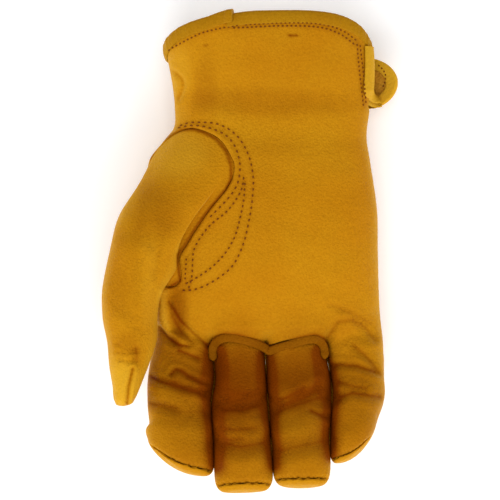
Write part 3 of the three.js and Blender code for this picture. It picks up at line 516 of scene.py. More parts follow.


# Folds and creases as lines in the photograph: depth in millimetres (a ridge has a negative one),
# half width in pixels, how far the leather puffs up beside the line, the share of painted shade in
# it (painted highlight where negative) and the share of fine wrinkles round it
CREASES = table("name depth width puff dark fine line", [
    ("index base ridge", -2.2, 5.5, 0, -0.4, 0, [(161, 292), (163, 318), (171, 333), (184, 344)]),
    ("index base valley", 0.8, 4.5, 0, 0.4, 0.2, [(168, 299), (173, 318), (182, 333), (191, 341)]),
    ("index base crease", 0.5, 2, 0.2, 0.5, 0.5, [(169, 302), (181, 321), (192, 332),
     (209, 346.5)]),
    ("index fold crease", 1.7, 3, 0.4, 0.7, 0.6, [(160, 328), (169, 338), (179, 345), (187, 346)]),
    ("index short crease", 0.8, 2.6, 0.2, 0.45, 0.4, [(179, 350.5), (198, 358)]),
    ("index arch crease", 0.9, 2.6, 0.3, 0.5, 0.8, [(171, 374), (175, 369.5), (181, 370.5),
     (188, 376), (199, 381), (208, 384)]),
    ("index middle crease", 1.2, 3.5, 0.4, 0.6, 0.9, [(150, 376), (158, 381), (169, 384),
     (195, 391), (207, 394)]),
    ("index side pucker", 0.4, 5, 0, 0.3, 1, [(153, 378), (165, 379), (175, 382)]),
    ("index tip crease", 0.8, 4, 0.3, 0.35, 0.7, [(150, 404), (163, 405), (176, 408)]),
    ("middle crease", 1.1, 3.6, 0.4, 0.5, 1, [(214, 403), (226, 406.5), (242, 407), (256, 402),
     (266, 398)]),
    ("middle upper crease", 0.6, 3, 0.2, 0.4, 1, [(222, 397.5), (236, 399.5), (250, 395),
     (263, 391)]),
    ("middle side dent", 1.3, 6, 0, 0.45, 0, [(215, 356), (217, 374), (213, 390)]),
    ("middle tip crease", 0.5, 4, 0.2, 0.25, 0.8, [(216, 428), (236, 430), (256, 428)]),
    ("middle last crease", 0.4, 4, 0.2, 0.2, 0.7, [(217, 438), (229, 440), (241, 439)]),
    ("ring crease", 1.1, 4, 0.4, 0.5, 1, [(275, 409), (290, 403), (305, 395), (318, 386)]),
    ("ring upper crease", 0.5, 3, 0.1, 0.3, 0.9, [(274, 402), (288, 397), (303, 389)]),
    ("ring short crease", 0.9, 3, 0.3, 0.45, 0.7, [(311, 411), (320, 415), (328, 417)]),
    ("little base crease", 1, 3, 0.4, 0.5, 0.5, [(331, 366), (340, 364.5), (357, 366), (375, 372)]),
    ("little middle crease", 1.1, 4, 0.3, 0.5, 1, [(333, 400), (352, 393), (380, 397)]),
    ("little upper crease", 0.5, 3, 0.2, 0.3, 1, [(338, 382), (352, 386), (366, 388)]),
    ("little edge crease", 0.7, 3, 0.3, 0.4, 0.5, [(354, 346), (364, 354), (371, 362), (380, 374)]),
    ("palm crease above little", 0.6, 3, 0.3, 0.35, 0.7, [(328, 337), (338, 322), (352, 320),
     (365, 327), (375, 340)]),
    ("palm edge crease", 0.4, 3, 0.2, 0.2, 0.6, [(333, 305), (352, 313), (371, 324)]),
    ("wrist arc", 0.6, 2.2, 0.3, 0.35, 0.2, [(169, 70), (176, 73), (182, 79), (183, 85),
     (182, 89), (178, 99)]),
    ("wrist crease", 0.8, 14, 0, 0, 0.25, [(190, 103), (240, 98), (300, 101), (350, 97)]),
    ("thumb wrinkle 1", 0.35, 2, 0.15, 0.15, 0.5, [(117, 343), (124, 349), (131, 350), (137, 348)]),
    ("thumb wrinkle 2", 0.35, 2, 0.15, 0.15, 0.5, [(118, 352), (127, 354), (138, 352)]),
    ("thumb wrinkle 3", 0.35, 2, 0.15, 0.15, 0.5, [(120, 359), (128, 361), (135, 360)]),
    ("thumb streak 1", 0.25, 3.5, 0, 0.03, 0.6, [(150, 232), (143, 262), (141, 290)]),
    ("thumb streak 2", 0.2, 3.5, 0, 0.03, 0.6, [(166, 226), (158, 256), (154, 290)]),
    ("thumb streak 3", 0.25, 4, 0, 0.04, 0.7, [(112, 300), (126, 318), (140, 330)]),
    ("middle finger hollow", 1.2, 9, 0.6, 0.3, 0.6, [(214, 399), (240, 405), (268, 400)]),
    ("middle finger lower hollow", 1, 7, 0.5, 0.35, 0.6, [(216, 441), (240, 447), (268, 442)]),
    ("ring finger hollow", 1.2, 9, 0.6, 0.3, 0.5, [(272, 414), (300, 404), (328, 395)]),
    ("ring finger lower hollow", 0.9, 7, 0.5, 0.3, 0.6, [(274, 452), (300, 446), (328, 440)]),
    ("index finger hollow", 0.9, 8, 0.4, 0.2, 0.6, [(148, 402), (175, 412), (210, 412)]),
    ("thumb dent", 1.1, 5, 0, 0.4, 0, [(136, 350), (137, 362)]),
    ("thumb tip seam", 1.2, 1.8, 0.7, 0.9, 0, [(132.5, 369), (128.6, 386), (126.7, 408)]),
])


# Distance in pixels of places to a line of points
def line_distance(px, py, line):
    best = np.full(np.shape(px), 1e9)
    for (x0, y0), (x1, y1) in zip(line, line[1:]):
        dx, dy = x1 - x0, y1 - y0
        t = np.clip(((px - x0) * dx + (py - y0) * dy) / (dx * dx + dy * dy), 0, 1)
        best = np.minimum(best, np.hypot(px - x0 - t * dx, py - y0 - t * dy))
    return best


# Soft random waves, as a height for every point, of about unit size
def waves(p, length, seed, count=10):
    random = np.random.default_rng(seed)
    total = np.zeros(p.shape[:-1])
    for _ in range(count):
        direction = random.normal(size=3)
        direction *= 2 * math.pi / (length * random.uniform(0.7, 1.5)) / np.linalg.norm(direction)
        total += np.cos(p @ direction + random.uniform(0, 2 * math.pi))
    return total * math.sqrt(2 / count)


# Waviness of the leather on the palm side and on the back: its height and its length
PALM_WAVES = table("height length seed", [(0.09, 17, 3), (0.035, 7, 5)])
BACK_WAVES = table("height length seed", [(0.12, 24, 8), (0.04, 8, 9)])
CREASE_PUFF_AT = 2.2  # how far beside a crease the leather puffs up, in half widths


def wavy(p, rows):
    return sum(row["height"] * waves(p, row["length"], row["seed"]) for row in rows)


# Height that folds, creases and the leather's own waviness add to a point of the palm side
def relief(p):
    px, py = pixels(p)
    height = wavy(p, PALM_WAVES)
    for crease in CREASES:
        away = line_distance(px, py, crease["line"]) / crease["width"]
        height -= crease["depth"] * np.exp(-(away**2))
        height += crease["puff"] * np.exp(-((away - CREASE_PUFF_AT) ** 2))
    return height


def back_relief(p):
    return wavy(p, BACK_WAVES)


# Soft patches of painted shade in the photograph, on fingers and folds turned from the light and in
# hollows, and of painted light with a paler tone where the share is negative: middle, half sizes and
# share
SHADES = table("name x y wide high share", [
    ("middle finger", 240, 412, 33, 78, 0.44),
    ("middle finger below the welt", 240, 370, 33, 38, 0.45),
    ("ring finger", 299, 412, 33, 78, 0.42),
    ("ring finger below the welt", 299, 369, 33, 38, 0.42),
    ("index finger", 190, 412, 36, 64, 0.38),
    ("index finger base", 192, 372, 26, 28, 0.34),
    ("little finger", 355, 410, 34, 58, 0.38),
    ("little finger base", 352, 372, 26, 22, 0.12),
    ("hand below the little finger", 352, 330, 34, 26, 0.16),
    ("hand above the fingers", 285, 322, 70, 16, 0.08),
    ("cuff middle", 290, 60, 60, 34, 0.1),
    ("wrist left", 206, 84, 12, 30, 0.22),
    ("hand left", 262, 200, 30, 70, 0.06),
    ("wrist", 265, 102, 84, 14, 0.25),
    ("thumb", 152, 212, 30, 26, 0.3),
    ("web beside the fold", 178, 314, 10, 28, 0.55),
    ("web under the fold", 170, 346, 16, 16, 0.3),
    ("fold's ridge", 166, 312, 8, 30, -0.3),
    ("middle finger side", 220, 362, 8, 32, 0.35),
    ("ring finger side", 321, 362, 8, 32, 0.3),
    ("middle finger end", 243, 463, 20, 12, -0.15),
    ("ring finger end", 300, 458, 20, 13, -0.15),
    ("index finger end", 186, 440, 24, 14, -0.1),
    ("middle finger middle", 243, 412, 26, 22, 0.22),
    ("wrist left side", 178, 84, 14, 44, -0.28),
    ("wrist middle", 214, 96, 34, 10, 0.06),
    ("finger ends", 235, 462, 115, 28, 0.16),
    ("thumb middle", 132, 262, 26, 50, 0.12),
    ("thumb pad", 174, 152, 34, 26, -0.35),
    ("thumb shoulder", 127, 205, 13, 26, -0.35),
    ("thumb lower hollow", 128, 350, 15, 18, 0.3),
    ("thumb bend", 118, 292, 12, 22, 0.12),
    ("thumb ridge", 148, 268, 10, 60, -0.2),
    ("thumb tip", 121, 384, 18, 34, -0.6),
])


# Lines in the photograph along which the leather is darkened: painted shade in the gaps between the
# fingers, along the thumb hole's edge and beside the welt, and two short dark lines on the cuff;
# half widths in pixels
SHADE_LINES = table("width share line", [
    (1.0, 1.0, [(288, 34.6), (292, 36), (297, 35.8)]),
    (0.9, 0.6, [(203, 47), (206, 45.6), (209, 45.4)]),
    (2.5, 0.5, [(211, 346), (216, 338), (226, 334), (240, 336), (257, 342), (269, 347)]),
    (2.5, 0.5, [(269, 347), (285, 344), (302, 338), (314, 335), (323, 339), (326, 346)]),
    (1.8, 0.9, [(150, 158), (158, 144), (173, 134), (182, 130), (193, 129), (205, 133),
     (216, 139), (226, 151), (231, 165), (231, 179), (226, 189), (219, 197), (210, 208),
     (201, 220), (193, 232), (186, 244), (178, 255), (178, 263), (180, 281), (169, 287)]),
    (9, 0.95, [(211, 350), (214, 369), (211, 396), (213, 420), (215, 446), (216, 465)]),
    (8, 0.95, [(266, 355), (268, 386), (272, 431), (274, 465)]),
    (8, 0.95, [(321, 353), (330, 374), (332, 403), (329, 431), (331, 455)]),
])


CREASE_LINE = 1.2  # half width in pixels of the painted shade line in a crease
STITCH_GROOVE_WIDE = 2.4  # half width in pixels of the painted shade of a groove under a row of stitches
STITCH_GROOVE_SHADE = 0.2  # share of painted shade in it


# Share of painted shade at points of the palm side, painted light where it is negative
def shade(p):
    px, py = pixels(p)
    total = np.zeros(len(p))
    for patch in SHADES:
        away = ((px - patch["x"]) / patch["wide"]) ** 2 + ((py - patch["y"]) / patch["high"]) ** 2
        total += patch["share"] * np.exp(-(away**2))
    for crease in CREASES:
        away = line_distance(px, py, crease["line"])
        crisp = np.exp(-((away / CREASE_LINE) ** 2))
        total += crease["dark"] / 2 * (crisp + np.exp(-((away / crease["width"]) ** 2)))
    for row in SHADE_LINES:
        total += row["share"] * np.exp(-((line_distance(px, py, row["line"]) / row["width"]) ** 2))
    for row in STITCH_ROWS:
        away = line_distance(px, py, row["line"]) / STITCH_GROOVE_WIDE
        total += STITCH_GROOVE_SHADE * np.exp(-(away**2))
    return np.clip(total, -1, 1)


# Share of fine wrinkles at points of the palm side
def wrinkled(p):
    px, py = pixels(p)
    total = np.zeros(len(p))
    for crease in CREASES:
        away = line_distance(px, py, crease["line"]) / (1.5 * crease["width"] + 3)
        total = np.maximum(total, crease["fine"] * np.exp(-(away**2)))
    return total


# Outward directions at the points of faces with four corners
def point_normals(points, faces):
    a, b, c, d = (points[faces[:, k]] for k in range(4))
    face = np.cross(c - a, d - b)
    total = np.zeros_like(points)
    for k in range(4):
        np.add.at(total, faces[:, k], face)
    return total / np.maximum(np.linalg.norm(total, axis=1), 1e-9)[:, None]


EDGE_LEFT = 0.3  # thickness of the leather that is left where its edge turns down
MERGE_STEPS = 200  # steps in a millimetre to which points are rounded to find the ones to merge
RELIEF_UPRIGHT = 0.75  # below this upright share of the normal, the relief fades towards the sides


# A mesh of leather between an outer and an inner face, put together from grids
class Sheet:
    def __init__(self):
        self.outer = []
        self.inner = []
        self.faces = []
        self.hole = []  # places and first index of the palm's grids round the thumb hole
        self.count = 0

    def points(self, outer, inner):
        self.outer.append(outer.reshape(-1, 3))
        self.inner.append(inner.reshape(-1, 3))
        first = self.count
        self.count += outer.size // 3
        return first

    def grid(self, outer, inner, flip=False):
        rows, across = outer.shape[:2]
        index = self.points(outer, inner) + np.arange(rows * across).reshape(rows, across)
        a, b, c, d = index[:-1, :-1], index[:-1, 1:], index[1:, 1:], index[1:, :-1]
        corners = [a, b, c, d] if flip else [a, d, c, b]
        self.faces.append(np.stack(corners, -1).reshape(-1, 4))

    # Leather between its outer face, turned down at its edges, and the inner one below it
    def leather(self, skin, turned, flip=False):
        self.grid(skin(turned), skin(np.maximum(LEATHER, turned + EDGE_LEFT)), flip)

    # Merges the grids, moves both faces along the outer one's normals by the relief, adds the walls
    def build(self, name, material, height=None):
        outer, inner = np.concatenate(self.outer), np.concatenate(self.inner)
        keys = np.round(outer * MERGE_STEPS).astype(np.int64)
        _, first, place = np.unique(keys, axis=0, return_index=True, return_inverse=True)
        place = place.reshape(-1)
        count = len(first)
        faces = place[np.concatenate(self.faces)]
        used = np.unique(faces)
        kept = np.full(count, -1)
        kept[used] = np.arange(len(used))
        faces, first, count = kept[faces], first[used], len(used)
        outer, inner = outer[first], inner[first]
        if height is not None:
            normals = point_normals(outer, faces)
            moved = normals * (height(outer) * smooth(np.abs(normals[:, 2]) / RELIEF_UPRIGHT))[:, None]
            outer, inner = outer + moved, inner + moved
        lifted = flatten(outer)
        outer[:, 2] += lifted
        inner[:, 2] += lifted
        ring = np.roll(faces, -1, axis=1)
        starts, ends = faces.reshape(-1), ring.reshape(-1)
        real = starts != ends
        forth = starts[real] * count + ends[real]
        back = ends[real] * count + starts[real]
        border = ~np.isin(forth, back)
        a, b = starts[real][border], ends[real][border]
        walls = np.stack([b, a, a + count, b + count], -1)
        everything = np.concatenate([faces, faces[:, ::-1] + count, walls])
        points = np.concatenate([outer, inner])
        values = {"inside": np.concatenate([np.zeros(count), np.ones(count)])}
        if height is relief:
            values["shade"] = np.tile(shade(outer), 2)
            values["wrinkled"] = np.tile(wrinkled(outer), 2)
        return mesh_object(name, points, everything, material, values)


# An object in the scene that shows a mesh, a light or a camera
def scene_object(name, data):
    made = bpy.data.objects.new(name, data)
    bpy.context.scene.collection.objects.link(made)
    return made


SHARP_ANGLE = 70  # degrees between two faces above which their edge isn't smoothed


# A mesh object from points in millimetres and faces of up to four corners
def mesh_object(name, points, faces, material, values=None):
    lists = [list(dict.fromkeys(face)) for face in faces.tolist()]
    mesh = bpy.data.meshes.new(name)
    mesh.from_pydata((points / 1000).tolist(), [], [face for face in lists if len(face) > 2])
    mesh.validate()
    mesh.shade_smooth()
    mesh.set_sharp_from_angle(angle=math.radians(SHARP_ANGLE))
    for key, value in (values or {}).items():
        mesh.attributes.new(key, "FLOAT", "POINT").data.foreach_set("value", value)
    mesh.materials.append(material)
    return scene_object(name, mesh)


CLOSE_PLACES = np.array([0, 0.12, 0.3, 0.55, 0.85, 1.25, 1.8])  # distances from a rolled edge


# Places from 0 to 1 for a length in millimetres, closer together next to rolled edges
def spread(length, cell, close_start, close_end):
    start = CLOSE_PLACES if close_start else np.array([0])
    end = length - CLOSE_PLACES[::-1] if close_end else np.array([length])
    steps = max(2, int(round((end[0] - start[-1]) / cell)))
    middle = np.linspace(start[-1], end[0], steps + 1)
    return np.concatenate([start[:-1], middle, end[1:]]) / length


# Places across a lane, evenly spaced along the skin, and their distances from both of its sides
def lane_columns(side, lane, cell, close_start, close_end):
    v = np.linspace(0, 1, 601)
    places = ((hand_skin, 10), (finger_skin, 22))
    passed = sum(passed_along(skin(side, lane, v, place, 0)) for skin, place in places) / 2
    length = passed[-1]
    wanted = spread(length, cell, close_start, close_end) * length
    return np.interp(wanted, passed, v), wanted, length - wanted


# Angle round the hand's section as a length along it, for measuring round the thumb hole
ARC_ANGLES = np.linspace(-70, 190, 1041)
ARC_PASSED = passed_along(hand_point(ARC_ANGLES, 20.0, 0))


def arc_of(angle):
    return np.interp(angle, ARC_ANGLES, ARC_PASSED)


def angle_of(arc):
    return np.interp(arc, ARC_PASSED, ARC_ANGLES)


# The hole's whole edge as a smooth closed curve, and as a line of close points
for row in PALM_HOLE:
    row["around"] = float(angle_at(row["x"], row["y"]))
hole_edge = columns(PALM_HOLE + EDGE_HOLE, "angle", "around y", 360)
HOLE_TURNS = np.arange(0, 360, 0.75)
HOLE_LINE = np.stack([arc_of(hole_edge["around"](HOLE_TURNS)), hole_edge["y"](HOLE_TURNS)], -1)


# The hole's nearest edge place for places on the palm, and how far outside the hole they lie
def to_hole(arc, y):
    shape = np.shape(arc)
    place = np.stack([np.ravel(arc), np.ravel(y)], -1)
    nearest = np.zeros_like(place)
    best = np.full(len(place), 1e9)
    inside = np.zeros(len(place), bool)
    for a, b in zip(HOLE_LINE, np.roll(HOLE_LINE, -1, axis=0)):
        t = np.clip(((place - a) @ (b - a)) / ((b - a) @ (b - a)), 0, 1)
        on = a + t[:, None] * (b - a)
        away = np.hypot(*(place - on).T)
        closer = away < best
        best[closer] = away[closer]
        nearest[closer] = on[closer]
        if a[1] != b[1]:
            crosses = (place[:, 1] > a[1]) != (place[:, 1] > b[1])
            reach = a[0] + (place[:, 1] - a[1]) / (b[1] - a[1]) * (b[0] - a[0])
            inside ^= crosses & (place[:, 0] < reach)
    signed = np.where(inside, -best, best)
    return signed.reshape(shape), nearest.reshape(shape + (2,))


# How far the fingers' front stops before the tip, where the back's leather comes round it
def front_end(lane):
    return fingers[lane].length - TIP_BANDS[lane] - TIP_GROOVE


# Places along a finger's front, evenly spaced on its surface, and their distances from its end
def front_rows(lane, close_start):
    s = np.linspace(0, front_end(lane), 801)
    line = finger_skin("front", lane, 0.5 + 0 * s, s, 0.0)
    passed = passed_along(line)
    wanted = spread(passed[-1], FINE_CELL, close_start, True) * passed[-1]
    return np.interp(wanted, passed, s), passed[-1] - wanted


# How unevenly a puckered edge turns down, by the place along it
def pucker(along):
    return TIP_PUCKER * (np.sin(2.6 * along) + 0.6 * np.sin(1.7 * along + 1))


# How strongly the edges turn down at the sides of a finger: less where its gussets have ended
def side_roll(lane, s):
    return lerp(SIDE_ROLL_KEPT, 1, gusset_share(fingers[lane], s))


# Front or back of a finger from the crotch on, with its edges rolled down into the seams
def finger_grid(sheet, side, lane, places, s, from_tip=None):
    v, from_start, from_end = places
    row_s = s[:, None] + 0 * v
    fade = smooth(row_s / 5) if lane in (0, 3) or side == "back" else 1
    start_fade = 1 if lane == 0 else fade
    end_fade = 1 if lane == 3 else fade
    turned = np.maximum(rolled(from_start) * start_fade, rolled(from_end) * end_fade)
    turned = turned * side_roll(lane, row_s)
    if from_tip is not None:
        turned = np.maximum(turned, rolled(from_tip[:, None] + pucker(from_start), TIP_ROLL))
    flip = side == "back"
    sheet.leather(lambda depth: finger_skin(side, lane, v + 0 * row_s, row_s, depth), turned, flip)


def steps_to(length, cell=CELL):
    return max(3, int(round(length / cell)))


# The palm, in one piece with the fronts of the index and the little finger
def palm(material):
    sheet = Sheet()
    lower = spread(PALM_LENGTH * (1 - FINE_FROM), FINE_CELL, False, True)
    upper = np.linspace(0, FINE_FROM, steps_to(PALM_LENGTH * FINE_FROM, COARSE_CELL))[:-1]
    rows = np.concatenate([upper, lerp(FINE_FROM, 1, lower)])[:, None]
    for lane in range(4):
        inner_lane = lane in (1, 2)
        places = lane_columns("front", lane, CELL, lane in (0, 3), lane in (0, 3))
        v, from_start, from_end = places
        inwards = v if lane == 1 else 1 - v
        room = (WELT / 2 + GAP) * welt_share(inwards)
        lowest = WEB_Y + (seam_rise(inwards) + room if inner_lane else 0 * v)
        lanes = hand_lanes("front", RIM_VENT)
        top = rim_y(lerp(lanes[lane], lanes[lane + 1], v))
        y = lerp(top, lowest, rows)
        turned = np.zeros_like(y)
        if lane == 0:
            turned = rolled(from_start) + 0 * y
        if lane == 3:
            turned = rolled(from_end) + 0 * y
        if inner_lane:
            turned = rolled((1 - rows) * (top - lowest)) * smooth(inwards / 0.12)
        puff = SEAM_LIFT * np.sin(np.pi * v) * smooth((rows - 0.88) / 0.12) if inner_lane else 0 * y
        raised = vectors(0, 0, puff)
        sheet.leather(lambda depth: hand_skin("front", lane, v + 0 * y, y, depth) + raised, turned)
        if lane in (0, 1):
            lanes_here = hand_lanes("front", y)
            arc = arc_of(lerp(lanes_here[lane], lanes_here[lane + 1], v))
            away, _ = to_hole(arc, y)
            quads = sheet.faces[-1]
            first = sheet.count - y.size
            near = away.reshape(-1)[quads - first].min(axis=1) < HOLE_STRIP
            sheet.faces[-1] = quads[~near]
            sheet.hole.append((arc.reshape(-1), y.reshape(-1), first))
        if not inner_lane:
            finger_grid(sheet, "front", lane, places, *front_rows(lane, False))
    hole_strip(sheet)
    return sheet.build("palm", material, relief)


HOLE_STRIP_PLACES = np.array([2.2, 1.8, 1.4, 1.05, 0.75, 0.5, 0.28, 0.12, 0.03, 0])  # from the hole


# The strip along the thumb hole: from the grid's ragged edge to the hole, where the leather is
# turned under and stands up a little
def hole_strip(sheet):
    arc = np.concatenate([part[0] for part in sheet.hole])
    y = np.concatenate([part[1] for part in sheet.hole])
    index = np.concatenate([part[2] + np.arange(len(part[0])) for part in sheet.hole])
    keys = [tuple(key) for key in np.round(np.stack([arc, y], -1) * 100).astype(int)]
    place = {key: n for n, key in enumerate(keys)}
    same = np.array([place[key] for key in keys])
    spot = dict(zip(index.tolist(), same.tolist()))
    edges = {}
    for quads in sheet.faces:
        for quad in quads.tolist():
            corners = [spot.get(corner) for corner in quad]
            if None in corners:
                continue
            for a, b in zip(corners, corners[1:] + corners[:1]):
                if edges.pop((b, a), None) is None:
                    edges[(a, b)] = True
    away, _ = to_hole(arc, y)
    follow = {a: b for a, b in edges if away[a] < 3 * HOLE_STRIP and away[b] < 3 * HOLE_STRIP}
    start = min(follow, key=lambda a: away[a])
    loop = [start]
    while follow[loop[-1]] != start:
        loop.append(follow[loop[-1]])
    loop.append(start)
    loop_arc, loop_y = arc[loop], y[loop]
    loop_away, nearest = to_hole(loop_arc, loop_y)
    direction = (np.stack([loop_arc, loop_y], -1) - nearest) / loop_away[:, None]
    strip = nearest + direction * HOLE_STRIP_PLACES[:, None, None]
    strip = np.concatenate([np.stack([loop_arc, loop_y], -1)[None], strip])
    far = np.concatenate([loop_away[None], HOLE_STRIP_PLACES[:, None] + 0 * loop_away])
    lip = HOLE_LIP * np.exp(-(((far - 1.5) / 0.9) ** 2)) * (far < 2.5)
    turned = rolled(far, HOLE_ROLL) - lip
    angle = angle_of(strip[..., 0])
    sheet.leather(lambda depth: hand_point(angle, strip[..., 1], depth), turned)


# The front of one of the two middle fingers, set in below the welt
def finger_front(lane, name, material):
    sheet = Sheet()
    places = lane_columns("front", lane, FINE_CELL, True, True)
    v = places[0]
    inwards = v if lane == 1 else 1 - v
    start = GAP + (WELT / 2) * welt_share(inwards) - seam_rise(inwards)
    rows, from_tip = front_rows(lane, True)
    s = lerp(start, front_end(lane), (rows / front_end(lane))[:, None])
    turned = np.maximum(rolled(places[1]), rolled(places[2])) * side_roll(lane, s)
    turned = np.maximum(turned, rolled(s - s[0]))
    turned = np.maximum(turned, rolled(from_tip[:, None] + pucker(places[1]), TIP_ROLL))
    sheet.leather(lambda depth: finger_skin("front", lane, v + 0 * s, s, depth), turned)
    return sheet.build(name, material, relief)


# The back, in one piece with the backs of all four fingers, which come round the fingertips
def back(material):
    sheet = Sheet()
    ear_top = (RIM_VENT - EAR_Y - EAR_RADIUS) / (RIM_VENT - WEB_Y)
    ear_low = (RIM_VENT - EAR_Y + EAR_RADIUS) / (RIM_VENT - WEB_Y)
    ear_rows = lerp(ear_top, ear_low, 0.5 - 0.5 * np.cos(np.pi * np.linspace(0, 1, 31)))
    upper = np.linspace(0, ear_top, 6)[:-1]
    lower = np.linspace(ear_low, 1, steps_to(120, BACK_CELL))[1:]
    rows = np.concatenate([upper, ear_rows, lower])[:, None]
    lanes = hand_lanes("back", RIM_VENT)
    for lane in range(4):
        places = lane_columns("back", lane, BACK_CELL, True, True)
        v, from_start, from_end = places
        top = rim_y(lerp(lanes[lane], lanes[lane + 1], v))
        y = lerp(top, WEB_Y, rows)
        turned = np.zeros_like(y)
        if lane == 0:
            turned = rolled(from_start) + 0 * y
        if lane == 3:
            turned = rolled(from_end) * (1 - smooth((y - VENT_LOW + 4) / VENT_ROUND))
        sheet.leather(lambda depth: hand_skin("back", lane, v + 0 * y, y, depth), turned, True)
        length = fingers[lane].length
        body = np.linspace(0, length - 7, steps_to(length - 7, BACK_CELL))[:-1]
        tip = length - 7 * (1 - np.linspace(0, 1, 16)) ** 2
        finger_grid(sheet, "back", lane, places, np.concatenate([body, tip]))
        tip_band(sheet, lane, places)
    return sheet.build("back", material, back_relief)


# The back's leather that comes round a fingertip onto the front, with a rounded edge
def tip_band(sheet, lane, places):
    v = places[0]
    band = TIP_BANDS[lane] * np.linspace(0, 1, 16) ** 2
    s = (fingers[lane].length - band)[:, None] + 0 * v
    line = finger_skin("front", lane, 0.5 + 0 * band, fingers[lane].length - band, 0.0)
    passed = passed_along(line)
    turned = rolled((passed[-1] - passed)[:, None] - pucker(places[1]), TIP_ROLL)
    sheet.leather(lambda depth: finger_skin("front", lane, v + 0 * s, s, depth), turned, True)


GUSSET_WIDE = 11  # width of a gusset's strip
CROTCH_CLEAR = 2.2  # how far its middle keeps from the crotch line


# The gusset between two fingers: up the side of one, round the crotch, down the other's
def gusset(lane, name, material):
    sides = [fingers[lane], fingers[lane + 1]]

    def side_point(k, s, v, depth):
        clear = 2 * seam_clear(sides[k].column["depth"](s))
        share = gusset_share(sides[k], s)
        angle = lerp(GUSSET_FRONT * share - clear, clear - GUSSET_BACK * share, v)
        return finger_point(sides[k], 180 - angle if k == 0 else angle, s, depth)

    def skin(place, v, depth):
        points = []
        for k in (0, 1):
            end = sides[k].length - GUSSET_SHORT - GUSSET_TAPER / 3
            s = lerp(CROTCH_CLEAR, end, np.abs(place))
            fade = np.clip(1 - (s - CROTCH_CLEAR) / CROTCH_LENGTH, 0, 1)
            mine = side_point(k, s, v, depth)
            other = side_point(1 - k, s, v, depth)
            p = mine + (other - mine) * (fade / 2)[..., None]
            p[..., 1] += depth * fade
            points.append(p)
        return np.where((place < 0)[..., None], points[0], points[1])

    place = np.linspace(-1, 1, 121)[:, None]
    v = spread(GUSSET_WIDE, 0.9, True, True)
    turned = np.maximum(rolled(v * GUSSET_WIDE), rolled((1 - v) * GUSSET_WIDE)) + 0 * place
    sheet = Sheet()
    sheet.leather(lambda depth: skin(place + 0 * v, v + 0 * place, depth), turned, True)
    return sheet.build(name, material)


# Point at a share of the way from the hole's middle to its edge, lifted off the skin
def hole_point(angle, size, lift):
    around = lerp(HOLE_MIDDLE["around"], hole_edge["around"](angle), size)
    y = lerp(HOLE_MIDDLE["y"], hole_edge["y"](angle), size)
    return hand_point(around, y, -lift)


# The thumb: a tube that starts under the edge of its hole and is closed at the tip
thumb_section = columns(THUMB, "s", "x y z width depth turn")


def thumb_ring(angle, s, depth):
    section = {key: float(curve(s)) for key, curve in thumb_section.items()}
    across = float(signed_power(math.cos(math.radians(angle)), 2 / FINGER_ROUND))
    rise = float(signed_power(math.sin(math.radians(angle)), 2 / FINGER_ROUND))
    wide = across * (section["width"] / 2 - depth)
    turn = math.radians(section["turn"])
    return [
        section["x"] + wide * math.cos(turn),
        section["y"] - wide * math.sin(turn),
        section["z"] + rise * (section["depth"] / 2 - depth),
    ]


THUMB_TURNS = 133  # points round the thumb
# How its base leaves the hole: the distance outside the hole's edge and how far it lies below the
# palm's outer face
THUMB_BASE = table("outside below", [
    (THUMB_TUCK, LEATHER + THUMB_UNDER),
    (0.2, LEATHER + THUMB_UNDER + 0.2),
    (-0.6, 0.6),
    (-6, 0),
])
BASE_STEPS = 12  # rows of points over the base, from there to the first section, and between two
FIRST_STEPS = 30
SECTION_STEPS = 18
TIP_CLOSING = (0.3, 0.6, 0.85, 1)  # shares of the way to its middle at which the tip's end has rings
TIP_BULGE = 1.2  # how far the middle stands out


def thumb(material):
    faces = []
    for depth in (0, LEATHER):
        lines = []
        for angle in np.linspace(0, 360, THUMB_TURNS) % 360:
            edge = hole_point(angle, 1, 0)
            radius = 10 * np.linalg.norm(edge - hole_point(angle, 0.9, 0))
            line = []
            for row in THUMB_BASE:
                line.append(hole_point(angle, 1 + row["outside"] / radius, -row["below"] - depth))
            line += [thumb_ring(angle, row["s"], depth) for row in THUMB]
            line = np.array(line)
            passed = passed_along(line)
            rows = [{"at": a, "x": p[0], "y": p[1], "z": p[2]} for a, p in zip(passed, line)]
            curve = columns(rows, "at", "x y z")
            steps = [BASE_STEPS, FIRST_STEPS] + [SECTION_STEPS] * (len(THUMB) - 1)
            stops = [passed[0], *passed[3:]]
            parts = [np.linspace(*span)[:-1] for span in zip(stops, stops[1:], steps)]
            at = np.concatenate([*parts, [passed[-1]]])
            points = np.stack([curve[k](at) for k in ("x", "y", "z")], -1)
            near = np.exp(-(((points[:, 1] - SHOULDER_Y) / SHOULDER_LONG) ** 2))
            points[:, 0] -= SHOULDER_OUT * near * smooth((SHOULDER_X - points[:, 0]) / SHOULDER_WIDE)
            lines.append(points)
        grid = np.stack(lines, 1)
        middle = grid[-1].mean(axis=0)
        closing = []
        for t in TIP_CLOSING:
            beyond = TIP_BULGE * math.sqrt(t) - depth * t
            closing.append(lerp(grid[-1], middle, t) - [0, beyond, 0])
        faces.append(np.concatenate([grid, np.stack(closing)]))
    sheet = Sheet()
    sheet.grid(faces[0], faces[1], True)
    return sheet.build("thumb", material, relief)


